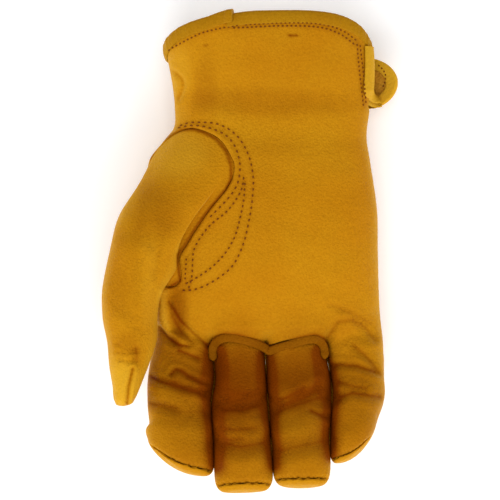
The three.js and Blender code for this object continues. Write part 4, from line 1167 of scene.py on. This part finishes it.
# A closed profile of a tape folded over an edge, as distances in from the edge and depths
def tape_profile(reach):
    high = -BINDING_CLEAR - BINDING
    low = LEATHER + BINDING_CLEAR + BINDING
    radius = (low - high) / 2
    corner = reach - 0.7
    profile = [(reach, -BINDING_CLEAR), (reach, high * 0.5), (reach - 0.25, high * 0.85), (corner, high)]
    for t in (0.2, 0.4, 0.6, 0.8, 1):
        profile.append((lerp(corner, TAPE_FOLD, t), high - 0.25 * math.sin(math.pi * t)))
    for angle in range(15, 180, 15):
        a = math.radians(angle)
        profile.append((TAPE_FOLD - 0.8 * radius * math.sin(a), LEATHER / 2 - radius * math.cos(a)))
    for t in (0, 0.3, 0.6, 0.9):
        profile.append((lerp(TAPE_FOLD, reach, t), low))
    profile += [(reach, low - 0.3), (reach, LEATHER + BINDING_CLEAR)]
    profile += [(0, LEATHER + BINDING_CLEAR), (-BINDING_CLEAR, LEATHER / 2), (0, -BINDING_CLEAR)]
    return np.array(profile)


# A closed mesh from rings of points, with its faces turned outwards; its shade attribute darkens it
# by shade_share, and lightens it where that is negative
def tube(name, rings, material, shade_share):
    count, sides = rings.shape[:2]
    index = np.arange(count * sides).reshape(count, sides)
    beside = np.roll(index, -1, axis=1)
    faces = [np.stack([index[:-1], index[1:], beside[1:], beside[:-1]], -1).reshape(-1, 4)]
    for k, ring in enumerate((index[0], index[-1][::-1])):
        middle = 0 * ring + count * sides + k
        faces.append(np.stack([ring, np.roll(ring, -1), middle, middle], -1))
    faces = np.concatenate(faces)
    points = np.concatenate([rings.reshape(-1, 3), rings[[0, -1]].mean(axis=1)])
    a, b, c, d = (points[faces[:, k]] for k in range(4))
    volume = np.sum(a * (np.cross(b, c) + np.cross(c, d)))
    if volume < 0:
        faces = faces[:, ::-1]
    return mesh_object(name, points, faces, material, {"shade": np.full(len(points), shade_share)})


# A tape along an edge. skin gives points by the place along the edge, the distance in and the depth,
# and loose how far the tape stands off the edge.
def tape(name, stations, reach, skin, material, shade_share, loose=None):
    into, depth = tape_profile(reach).T
    at = np.asarray(stations, float)[:, None] + 0 * into
    extra = loose(at) if loose is not None else 0
    return tube(name, skin(at, into + 0 * at, depth + 0 * at - extra), material, shade_share)


# The two tapes round the cuff's edge. The one from the thumb side ends on top of the other.
def cuff_tapes(material):
    lanes = hand_lanes("front", RIM_VENT)
    back_lanes = hand_lanes("back", RIM_VENT)

    def first_skin(angle, into, depth):
        higher = TAPE_END_HIGH * smooth((angle - TAPE_JOIN + 16) / 16)
        return hand_point(angle, rim_y(angle) + higher - into, depth)

    def second_skin(angle, into, depth):
        lower = TAPE_START_LOW * smooth(1 - (angle - TAPE_JOIN) / 12)
        return hand_point(angle, rim_y(angle) - lower - into, depth)

    def loose_first(angle):
        lapped = 1.2 * smooth((angle - TAPE_JOIN + 3.4) / 2)
        return lapped + 0.16 * np.sin(angle * 0.9) * np.sin(angle * 0.23) + 0.1

    def loose_second(angle):
        return 0.14 * np.sin(angle * 1.1 + 1) * np.sin(angle * 0.31)

    first = np.linspace(float(back_lanes[4]) + 0.6, TAPE_JOIN + 1.6, 230)
    second = np.linspace(TAPE_JOIN - 1.5, float(lanes[4]) - 0.1, 130)
    rows = [
        ("cuff_binding_thumb_side", first, BINDING_DEPTH, first_skin, material, CUFF_SHADE_SHARE, loose_first),
        ("cuff_binding_palm", second, BINDING_DEPTH, second_skin, material, CUFF_SHADE_SHARE, loose_second),
    ]
    return [tape(*row) for row in rows]


# The tape down the vent's edge on the palm side. At the vent's lower end it turns round and
# drops towards the ear.
def vent_tape(material):
    top = float(rim_y(VENT_FRONT))
    straight = top - VENT_TURN_Y
    start = hand_skin("front", 3, 1.0, VENT_TURN_Y, 0.0)
    stop = hand_skin("back", 3, 1.0, EAR_Y - 0.9 * EAR_RADIUS, 0.0)
    middle_x = start[0] + VENT_OUT + VENT_TURN_RADIUS
    drop = start[2] - stop[2] + VENT_TURN_SUNK

    def skin(passed, into, depth):
        y = np.maximum(top - passed, VENT_TURN_Y)
        near = hand_skin("front", 3, 1.0, y, 0.0)
        further = hand_skin("front", 3, 0.95, y, 0.0)
        arc = np.linalg.norm(near - further, axis=-1) / 0.05
        turned = np.clip((passed - straight) / VENT_TURN_LENGTH, 0, 1)
        across = into * (1 - VENT_TURN_TAPER * smooth(turned / 0.7))
        p = hand_skin("front", 3, 1 - across / arc, y, depth)
        p[..., 0] += VENT_OUT
        angle = math.radians(VENT_TURN) * turned
        from_middle = p[..., 0] - middle_x
        p[..., 0] = middle_x + from_middle * np.cos(angle)
        p[..., 1] += from_middle * np.sin(angle)
        p[..., 2] -= drop * smooth(turned)
        return p

    stations = np.linspace(2.0, straight + VENT_TURN_LENGTH, 70)
    return tape("vent_binding", stations, VENT_BINDING_DEPTH, skin, material, VENT_SHADE_SHARE)


# The tape round the ear. In from its edge is towards the ear's middle.
def ear_tape(material):
    def skin(t, into, depth):
        shrunk = 1 - into / EAR_RADIUS
        y = EAR_Y + EAR_RADIUS * np.cos(np.pi * t) * shrunk
        edge = hand_skin("back", 3, 1.0, y, 0.0)
        ear_y = EAR_Y + EAR_RADIUS * np.cos(np.pi * t)
        x = lerp(EAR_MIDDLE_X, hand_skin("back", 3, 1.0, ear_y, 0.0)[..., 0], shrunk)
        speed = (edge[..., 0] - hand_skin("back", 3, 0.95, y, 0.0)[..., 0]) / 0.05
        return hand_skin("back", 3, 1 - (edge[..., 0] - x) / speed, y, depth)

    stations = np.linspace(0.1, 0.96, 64)
    return tape("ear_binding", stations, EAR_BINDING_DEPTH, skin, material, EAR_PAINTED_LIGHT)


# Rows of stitches as lines in the photograph, the distance between two stitches in pixels
# and the share of it that the thread covers
STITCH_ROWS = table("name pitch share line", [
    ("thumb outer", 6.2, 0.48, [(178, 126.6), (188, 122.8), (196, 122.4), (217.6, 124),
     (236.7, 135.5), (248, 154), (252.7, 172.5), (253.3, 186.5), (251.4, 207), (248.2, 224.8),
     (243, 245), (232.9, 265.6), (220, 277), (204.8, 286), (193.4, 290), (180.6, 290.5)]),
    ("thumb inner", 6.2, 0.48, [(176, 128.5), (189.5, 125.6), (201, 126), (211, 128.5),
     (224, 134), (234, 144.4), (239.3, 159.7), (240, 168.7), (238, 182.7), (231.6, 194.2),
     (221.4, 205.7), (208.7, 218.4)]),
    ("crescent inner", 5.6, 0.5, [(243.8, 175.7), (242.5, 186.5), (238, 196.7), (226.5, 212),
     (215, 221), (206, 230), (194.6, 247.8), (192.7, 259), (192, 275.8), (188.3, 289.8)]),
    ("crescent outer", 5.6, 0.5, [(245, 181.4), (243.8, 199.3), (240, 218.4), (235.5, 235),
     (226.5, 251.6), (213.8, 265.6), (201, 275), (184.4, 284.7)]),
    ("short row", 5, 0.45, [(186.4, 257.3), (185, 281)]),
    ("cuff upper", 4.4, 0.5, [(244, 25), (280, 23), (320, 24), (343, 31), (357, 41)]),
    ("cuff lower", 4.4, 0.55, [(232, 28), (246, 27.5), (280, 26), (320, 27.5), (341, 34.5),
     (355, 45)]),
    ("cuff left", 4.4, 0.5, [(167, 51), (185, 41), (205, 32), (239, 25)]),
    ("vent inner", 4.2, 0.55, [(357, 43), (358.5, 62), (361, 85), (363.5, 107)]),
    ("vent outer", 4.2, 0.55, [(360, 44), (362, 62), (364.5, 85), (366, 104)]),
    ("ear", 4, 0.5, [(377.5, 64.5), (381, 67.5), (383.5, 70.5), (385.5, 74), (385.5, 79),
     (384.5, 83), (382.5, 88)]),
])


# Evenly spaced places along a line through points
def along(line, pitch):
    points = np.array(line, float)
    passed = passed_along(points)
    dense = np.linspace(0, passed[-1], 200)
    rows = [{"at": a, "x": p[0], "y": p[1]} for a, p in zip(passed, points)]
    x, y = track(rows, "at", "x")(dense), track(rows, "at", "y")(dense)
    passed = passed_along(np.stack([x, y], -1))
    wanted = np.linspace(0, passed[-1], max(2, int(round(passed[-1] / pitch)) + 1))
    return np.interp(wanted, passed, x), np.interp(wanted, passed, y)


# The leather's surface under places of the photograph, as points and outward directions
class Surface:
    def __init__(self, pieces):
        self.trees = []
        for piece in pieces:
            mesh = piece.data
            points = [v.co * 1000 for v in mesh.vertices]
            self.trees.append(BVHTree.FromPolygons(points, [tuple(p.vertices) for p in mesh.polygons]))
        self.camera = Vector((CAMERA_X, 0, SEEN_Z + CAMERA_UP))

    def under(self, px, py):
        direction = (Vector(seen_at(px, py, SEEN_Z)) - self.camera).normalized()
        hits = [tree.ray_cast(self.camera, direction) for tree in self.trees]
        hits = [hit for hit in hits if hit[0] is not None]
        if not hits:
            return None
        point, normal, _, _ = min(hits, key=lambda hit: hit[3])
        return point, normal if normal.z > 0 else -normal


# The middle line of the welt in the photograph, with its ends turned down beside the fingers
WELT_LINE = [
    (213.5, 361), (212.5, 351), (215, 343.5), (221, 339), (229, 337.6), (242, 339.6), (257, 344.2),
    (266, 348.6), (269.5, 351), (274, 349.4), (284, 346.2), (302, 341), (313, 339.2), (320, 341.6),
    (324, 348), (325, 359),
]
WELT_WIDE = 4.2  # size of its section in millimetres
WELT_HIGH = 2
WELT_SUNK = 0.9  # how far its middle lies below the leather beside it
WELT_BESIDE = 6  # how many pixels beside it that leather is looked for
WELT_SMOOTHING = 9  # places along it over which its height is evened out
WELT_SIDES = 20
WELT_POWER = 0.75  # power of the cosine and sine in its section, below 1 for a fuller one
WELT_END = 0.03  # share of its length over which each end rounds off
WELT_PAINTED_SHADE = 0.8  # share of painted shade on it, where it lies sunk in the seam


# The welt in the seam over the two middle fingers: a folded strip that stands out as a bead
def welt(surface, material):
    px, py = along(WELT_LINE, 1)
    highest = []
    for x, y in zip(px, py):
        turns = [math.radians(a) for a in range(0, 360, 45)]
        around = [(x + WELT_BESIDE * math.cos(a), y + WELT_BESIDE * math.sin(a)) for a in turns]
        hits = [surface.under(*place) for place in around]
        highest.append(sorted(hit[0].z for hit in hits if hit is not None)[-2])
    padded = np.pad(highest, WELT_SMOOTHING // 2, "edge")
    level = np.convolve(padded, np.ones(WELT_SMOOTHING) / WELT_SMOOTHING, "valid") - WELT_SUNK
    line = seen_at(px, py, level)
    ahead = np.gradient(line, axis=0)
    ahead /= np.linalg.norm(ahead, axis=1)[:, None]
    side = np.cross(ahead, [0, 0, 1])
    side /= np.linalg.norm(side, axis=1)[:, None]
    up = np.cross(side, ahead)
    t = np.linspace(0, 1, len(line))
    full = np.sqrt(np.clip(np.minimum(t, 1 - t) / WELT_END, 0.05, 1))[:, None]
    points = []
    for n in range(WELT_SIDES):
        turn = 2 * math.pi * n / WELT_SIDES
        across = float(signed_power(math.cos(turn), WELT_POWER)) * WELT_WIDE / 2
        rise = float(signed_power(math.sin(turn), WELT_POWER)) * WELT_HIGH / 2
        points.append(line + side * across * full + up * rise * full)
    return tube("finger_base_welt", np.stack(points, 1), material, WELT_PAINTED_SHADE)


STITCH_WIDE = 0.8  # thickness of the thread in millimetres
STITCH_THIN = 0.45  # share of it at a stitch's ends
STITCH_ARCH = 0.22  # how far a stitch rises in its middle
STITCH_SUNK = 0.16  # how far its ends dip into the leather
STITCH_SIDES = 6
STITCH_RINGS = [0, 0.15, 0.35, 0.65, 0.85, 1]  # places of its rings of points, as shares of its length


# Faces of one stitch: round its sides and over both ends
def stitch_faces():
    last = (len(STITCH_RINGS) - 1) * STITCH_SIDES
    faces = []
    for first in range(0, last, STITCH_SIDES):
        for n in range(STITCH_SIDES):
            a, b = first + n, first + (n + 1) % STITCH_SIDES
            faces.append([a, a + STITCH_SIDES, b + STITCH_SIDES, b])
    for end in ([0, 1, 2, 3], [0, 3, 4, 5]):
        faces.append(end)
        faces.append([last + n for n in reversed(end)])
    return np.array(faces)


# All stitches as one mesh: short arched threads whose ends dip into the leather
def stitches(surface, rows, material):
    points, faces = [], []
    for row in rows:
        px, py = along(row["line"], row["pitch"])
        shares = (0.5 - row["share"] / 2, 0.5 + row["share"] / 2)
        for start, stop in zip(zip(px, py), zip(px[1:], py[1:])):
            ends = [surface.under(lerp(start[0], stop[0], t), lerp(start[1], stop[1], t)) for t in shares]
            if None in ends:
                continue
            (a, up_a), (b, up_b) = ends
            forward = (b - a).normalized()
            up = (up_a + up_b).normalized()
            side = forward.cross(up).normalized()
            faces.append(stitch_faces() + len(points))
            for t in STITCH_RINGS:
                centre = a.lerp(b, t) + up * (STITCH_ARCH * math.sin(math.pi * t) ** 0.6 - STITCH_SUNK)
                wide = STITCH_WIDE / 2 * lerp(STITCH_THIN, 1, math.sin(math.pi * t) ** 0.5)
                for n in range(STITCH_SIDES):
                    turn = 2 * math.pi * n / STITCH_SIDES
                    points.append(centre + side * (wide * math.cos(turn)) + up * (wide * math.sin(turn)))
    return mesh_object("stitches", np.array([list(p) for p in points]), np.concatenate(faces), material)


# A material whose nodes are made by short calls. Inputs are numbers, colours or other nodes' outputs.
class Look:
    def __init__(self, name):
        self.material = bpy.data.materials.new(name)
        self.material.use_nodes = True
        self.place = self.node("TexCoord").outputs["Object"]

    def node(self, kind, inputs=None, **settings):
        made = self.material.node_tree.nodes.new("ShaderNode" + kind)
        for key, value in settings.items():
            setattr(made, key, value)
        self.fill(made, inputs or {})
        return made

    def fill(self, node, inputs):
        for key, value in inputs.items():
            if isinstance(value, bpy.types.NodeSocket):
                self.material.node_tree.links.new(value, node.inputs[key])
            else:
                node.inputs[key].default_value = value

    def shader(self, inputs):
        self.fill(self.material.node_tree.nodes["Principled BSDF"], inputs)

    def noise(self, scale, detail, roughness=0.5):
        inputs = {"Vector": self.place, "Scale": scale, "Detail": detail, "Roughness": roughness}
        return self.node("TexNoise", inputs).outputs["Fac"]

    def ramp(self, value, low, high, low_to=0, high_to=1):
        inputs = {"Value": value, "From Min": low, "From Max": high, "To Min": low_to, "To Max": high_to}
        return self.node("MapRange", inputs).outputs["Result"]

    def product(self, first, second):
        return self.node("Math", {0: first, 1: second}, operation="MULTIPLY").outputs["Value"]

    def value_of(self, name):
        return self.node("Attribute", attribute_name=name).outputs["Fac"]

    # The colour sockets of a Mix node are inputs 6 and 7 and output 2
    def mix(self, factor, first, second, blend="MIX"):
        inputs = {0: factor}
        for key, value in ((6, first), (7, second)):
            inputs[key] = (*value, 1) if isinstance(value, tuple) else value
        return self.node("Mix", inputs, data_type="RGBA", blend_type=blend).outputs[2]

    def bump(self, height, strength, distance, below=None, invert=False):
        inputs = {"Height": height, "Strength": strength, "Distance": distance}
        if below is not None:
            inputs["Normal"] = below
        return self.node("Bump", inputs, invert=invert).outputs["Normal"]


def scaled(colour, *shares):
    return tuple(c * share for c, share in zip(colour, shares))


SHADED = (0.42, 0.195, 0.05)  # what colours are multiplied with in full shade
WRINKLE = (0.78, 0.68, 0.6)  # and in fine wrinkles, as painted shade in their creases
SUEDE = [(0.42, 0.18, 0.012), (0.52, 0.24, 0.02)]
PAINTED_SHEEN_AND_PALE = (0.66, 0.36, 0.02)  # painted sheen where the leather turns sideways, and painted light with a paler tone where the shade is negative


# Golden grain leather. The inside attribute is 1 on the rough flesh side.
def leather_material(name, colour):
    look = Look(name)
    blotches = look.ramp(look.noise(28, 3), 0.3, 0.7)
    base = look.mix(blotches, scaled(colour, 0.95, 0.84, 0.7), colour)
    pores = look.ramp(look.noise(1500, 2), 0.62, 0.75, 0, 0.35)
    base = look.mix(pores, base, scaled(colour, 0.6, 0.6, 0.6))
    brushed = look.ramp(look.noise(850, 3, 0.6), 0.38, 0.66, 0, 0.42)
    base = look.mix(brushed, base, scaled(colour, 0.72, 0.6, 0.4))

    # Painted sheen: faces that turn sideways are lightened, as if they caught the light tent's bright
    # sides, except in painted shade
    normal = look.node("SeparateXYZ", {"Vector": look.node("NewGeometry").outputs["Normal"]})
    upright = look.node("Math", {0: normal.outputs["Z"]}, operation="ABSOLUTE").outputs["Value"]
    shaded = look.value_of("shade")
    edge = look.product(look.ramp(upright, 0.05, 0.75, 0.62, 0), look.ramp(shaded, 0, 0.7, 1, 0))

    shift = look.node("TexNoise", {"Vector": look.place, "Scale": 180}).outputs["Color"]
    bent = {0: shift, 1: (0.004, 0.004, 0.004), 2: look.place}
    bent = look.node("VectorMath", bent, operation="MULTIPLY_ADD").outputs["Vector"]
    stretched = look.node("VectorMath", {0: bent, 1: (0.55, 1.5, 1)}, operation="MULTIPLY")
    net = {"Vector": stretched.outputs["Vector"], "Scale": 620}
    net = look.node("TexVoronoi", net, feature="DISTANCE_TO_EDGE").outputs["Distance"]
    patchy = look.product(look.ramp(look.noise(160, 3), 0.42, 0.6), look.value_of("wrinkled"))
    line = look.product(look.ramp(net, 0, 0.07, 1, 0), patchy)

    # Painted shade: the fine wrinkle lines and the shade attribute darken the colour
    base = look.mix(line, base, WRINKLE, "MULTIPLY")
    base = look.mix(look.ramp(shaded, 0, 1), base, SHADED, "MULTIPLY")
    # Painted sheen on sideways faces, and painted light where the shade attribute is negative
    base = look.mix(edge, base, PAINTED_SHEEN_AND_PALE)
    base = look.mix(look.ramp(shaded, 0, -1), base, PAINTED_SHEEN_AND_PALE)
    suede = look.mix(look.ramp(look.noise(900, 3), 0.35, 0.65), *SUEDE)
    base = look.mix(look.value_of("inside"), base, suede)

    cells = {"Vector": look.place, "Scale": 1100}
    cells = look.node("TexVoronoi", cells, feature="SMOOTH_F1").outputs["Distance"]
    grain = look.bump(cells, 0.7, 0.00045)
    soft = look.bump(look.noise(260, 4, 0.6), 0.35, 0.0004, grain)
    look.shader({
        "Base Color": base,
        "Roughness": look.ramp(look.noise(300, 2), 0.3, 0.7, 0.5, 0.64),
        "Specular IOR Level": 0.08,
        "Specular Tint": (1, 0.6, 0.08, 1),
        "Normal": look.bump(line, 0.6, 0.0005, soft, True),
    })
    return look.material


def thread_material():
    look = Look("thread")
    twist = look.node("TexNoise", {"Vector": look.place, "Scale": 2500}).outputs["Fac"]
    colours = look.node("ValToRGB", {"Fac": twist})
    colours.color_ramp.elements[0].color = (0.12, 0.03, 0.002, 1)
    colours.color_ramp.elements[1].color = (0.22, 0.065, 0.005, 1)
    look.shader({"Base Color": colours.outputs["Color"], "Roughness": 0.8, "Specular IOR Level": 0.08})
    return look.material


leather = leather_material("golden_leather", (0.495, 0.22, 0.005))
trim = leather_material("golden_leather_trim", (0.43, 0.218, 0.006))
thread = thread_material()

palm_piece = palm(leather)
middle_piece = finger_front(1, "middle_finger_front", leather)
ring_piece = finger_front(2, "ring_finger_front", leather)
back_piece = back(leather)
thumb_piece = thumb(leather)
gusset_names = ["gusset_index_middle", "gusset_middle_ring", "gusset_ring_little"]
gussets = [gusset(lane, name, leather) for lane, name in enumerate(gusset_names)]
welt_piece = welt(Surface([palm_piece, middle_piece, ring_piece, back_piece, *gussets]), trim)
tapes = cuff_tapes(trim) + [vent_tape(trim), ear_tape(trim)]
surface = Surface([palm_piece, back_piece, thumb_piece, *tapes])
stitch_piece = stitches(surface, STITCH_ROWS, thread)

for piece in (palm_piece, middle_piece, ring_piece, back_piece, thumb_piece, *gussets):
    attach(piece, "root")
    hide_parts(piece.name.split(".")[0])
for piece in (welt_piece, *tapes):
    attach(piece, "root")
    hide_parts(piece.name.split(".")[0])
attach(stitch_piece, "root")


FLOOR_HALF = 3  # metres


def floor_plane():
    corners = [(-1, -1, 0), (1, -1, 0), (1, 1, 0), (-1, 1, 0)]
    mesh = bpy.data.meshes.new("floor")
    mesh.from_pydata([(FLOOR_HALF * x, FLOOR_HALF * y, z) for x, y, z in corners], [], [(0, 1, 2, 3)])
    look = Look("floor")
    look.shader({
        "Base Color": (0.97, 0.97, 0.97, 1),
        "Roughness": 0.9,
        "Emission Color": (1, 1, 1, 1),
        "Emission Strength": 0.14,
    })
    mesh.materials.append(look.material)
    return scene_object("floor", mesh)


floor_plane()


LIGHT_TARGET = (0, 0, 0.02)


# An area light that faces the target. Its place and size are in metres, its power in watts.
def softbox(name, place, size, power):
    light = bpy.data.lights.new(name, "AREA")
    light.shape = "RECTANGLE"
    light.size, light.size_y = size
    light.energy = power
    made = scene_object(name, light)
    made.location = place
    direction = Vector(LIGHT_TARGET) - Vector(place)
    made.rotation_euler = direction.to_track_quat("-Z", "Y").to_euler()


# A light tent: bright sides, a weaker top, and the strongest light from beyond the fingertips
softbox("light_fingers", (0, -1.0, 0.75), (1.2, 0.6), 11.5)
softbox("light_left", (-1.1, 0, 0.55), (0.5, 1.2), 6.5)
softbox("light_right", (1.1, 0, 0.55), (0.5, 1.2), 5.5)
softbox("light_top", (0, 0.25, 1.5), (0.9, 0.9), 4)

world = bpy.data.worlds.new("tent")
world.use_nodes = True
world.node_tree.nodes["Background"].inputs["Color"].default_value = (1, 1, 1, 1)
world.node_tree.nodes["Background"].inputs["Strength"].default_value = 0.42
bpy.context.scene.world = world
bpy.context.scene.view_settings.view_transform = "Standard"

camera = bpy.data.cameras.new("camera")
camera.angle = 2 * math.atan(PHOTO_MIDDLE * MM_PER_PIXEL / CAMERA_UP)
camera.clip_start, camera.clip_end = 0.05, 10
camera_object = scene_object("camera", camera)
camera_object.location = (CAMERA_X / 1000, 0, (SEEN_Z + CAMERA_UP) / 1000)
bpy.context.scene.camera = camera_object
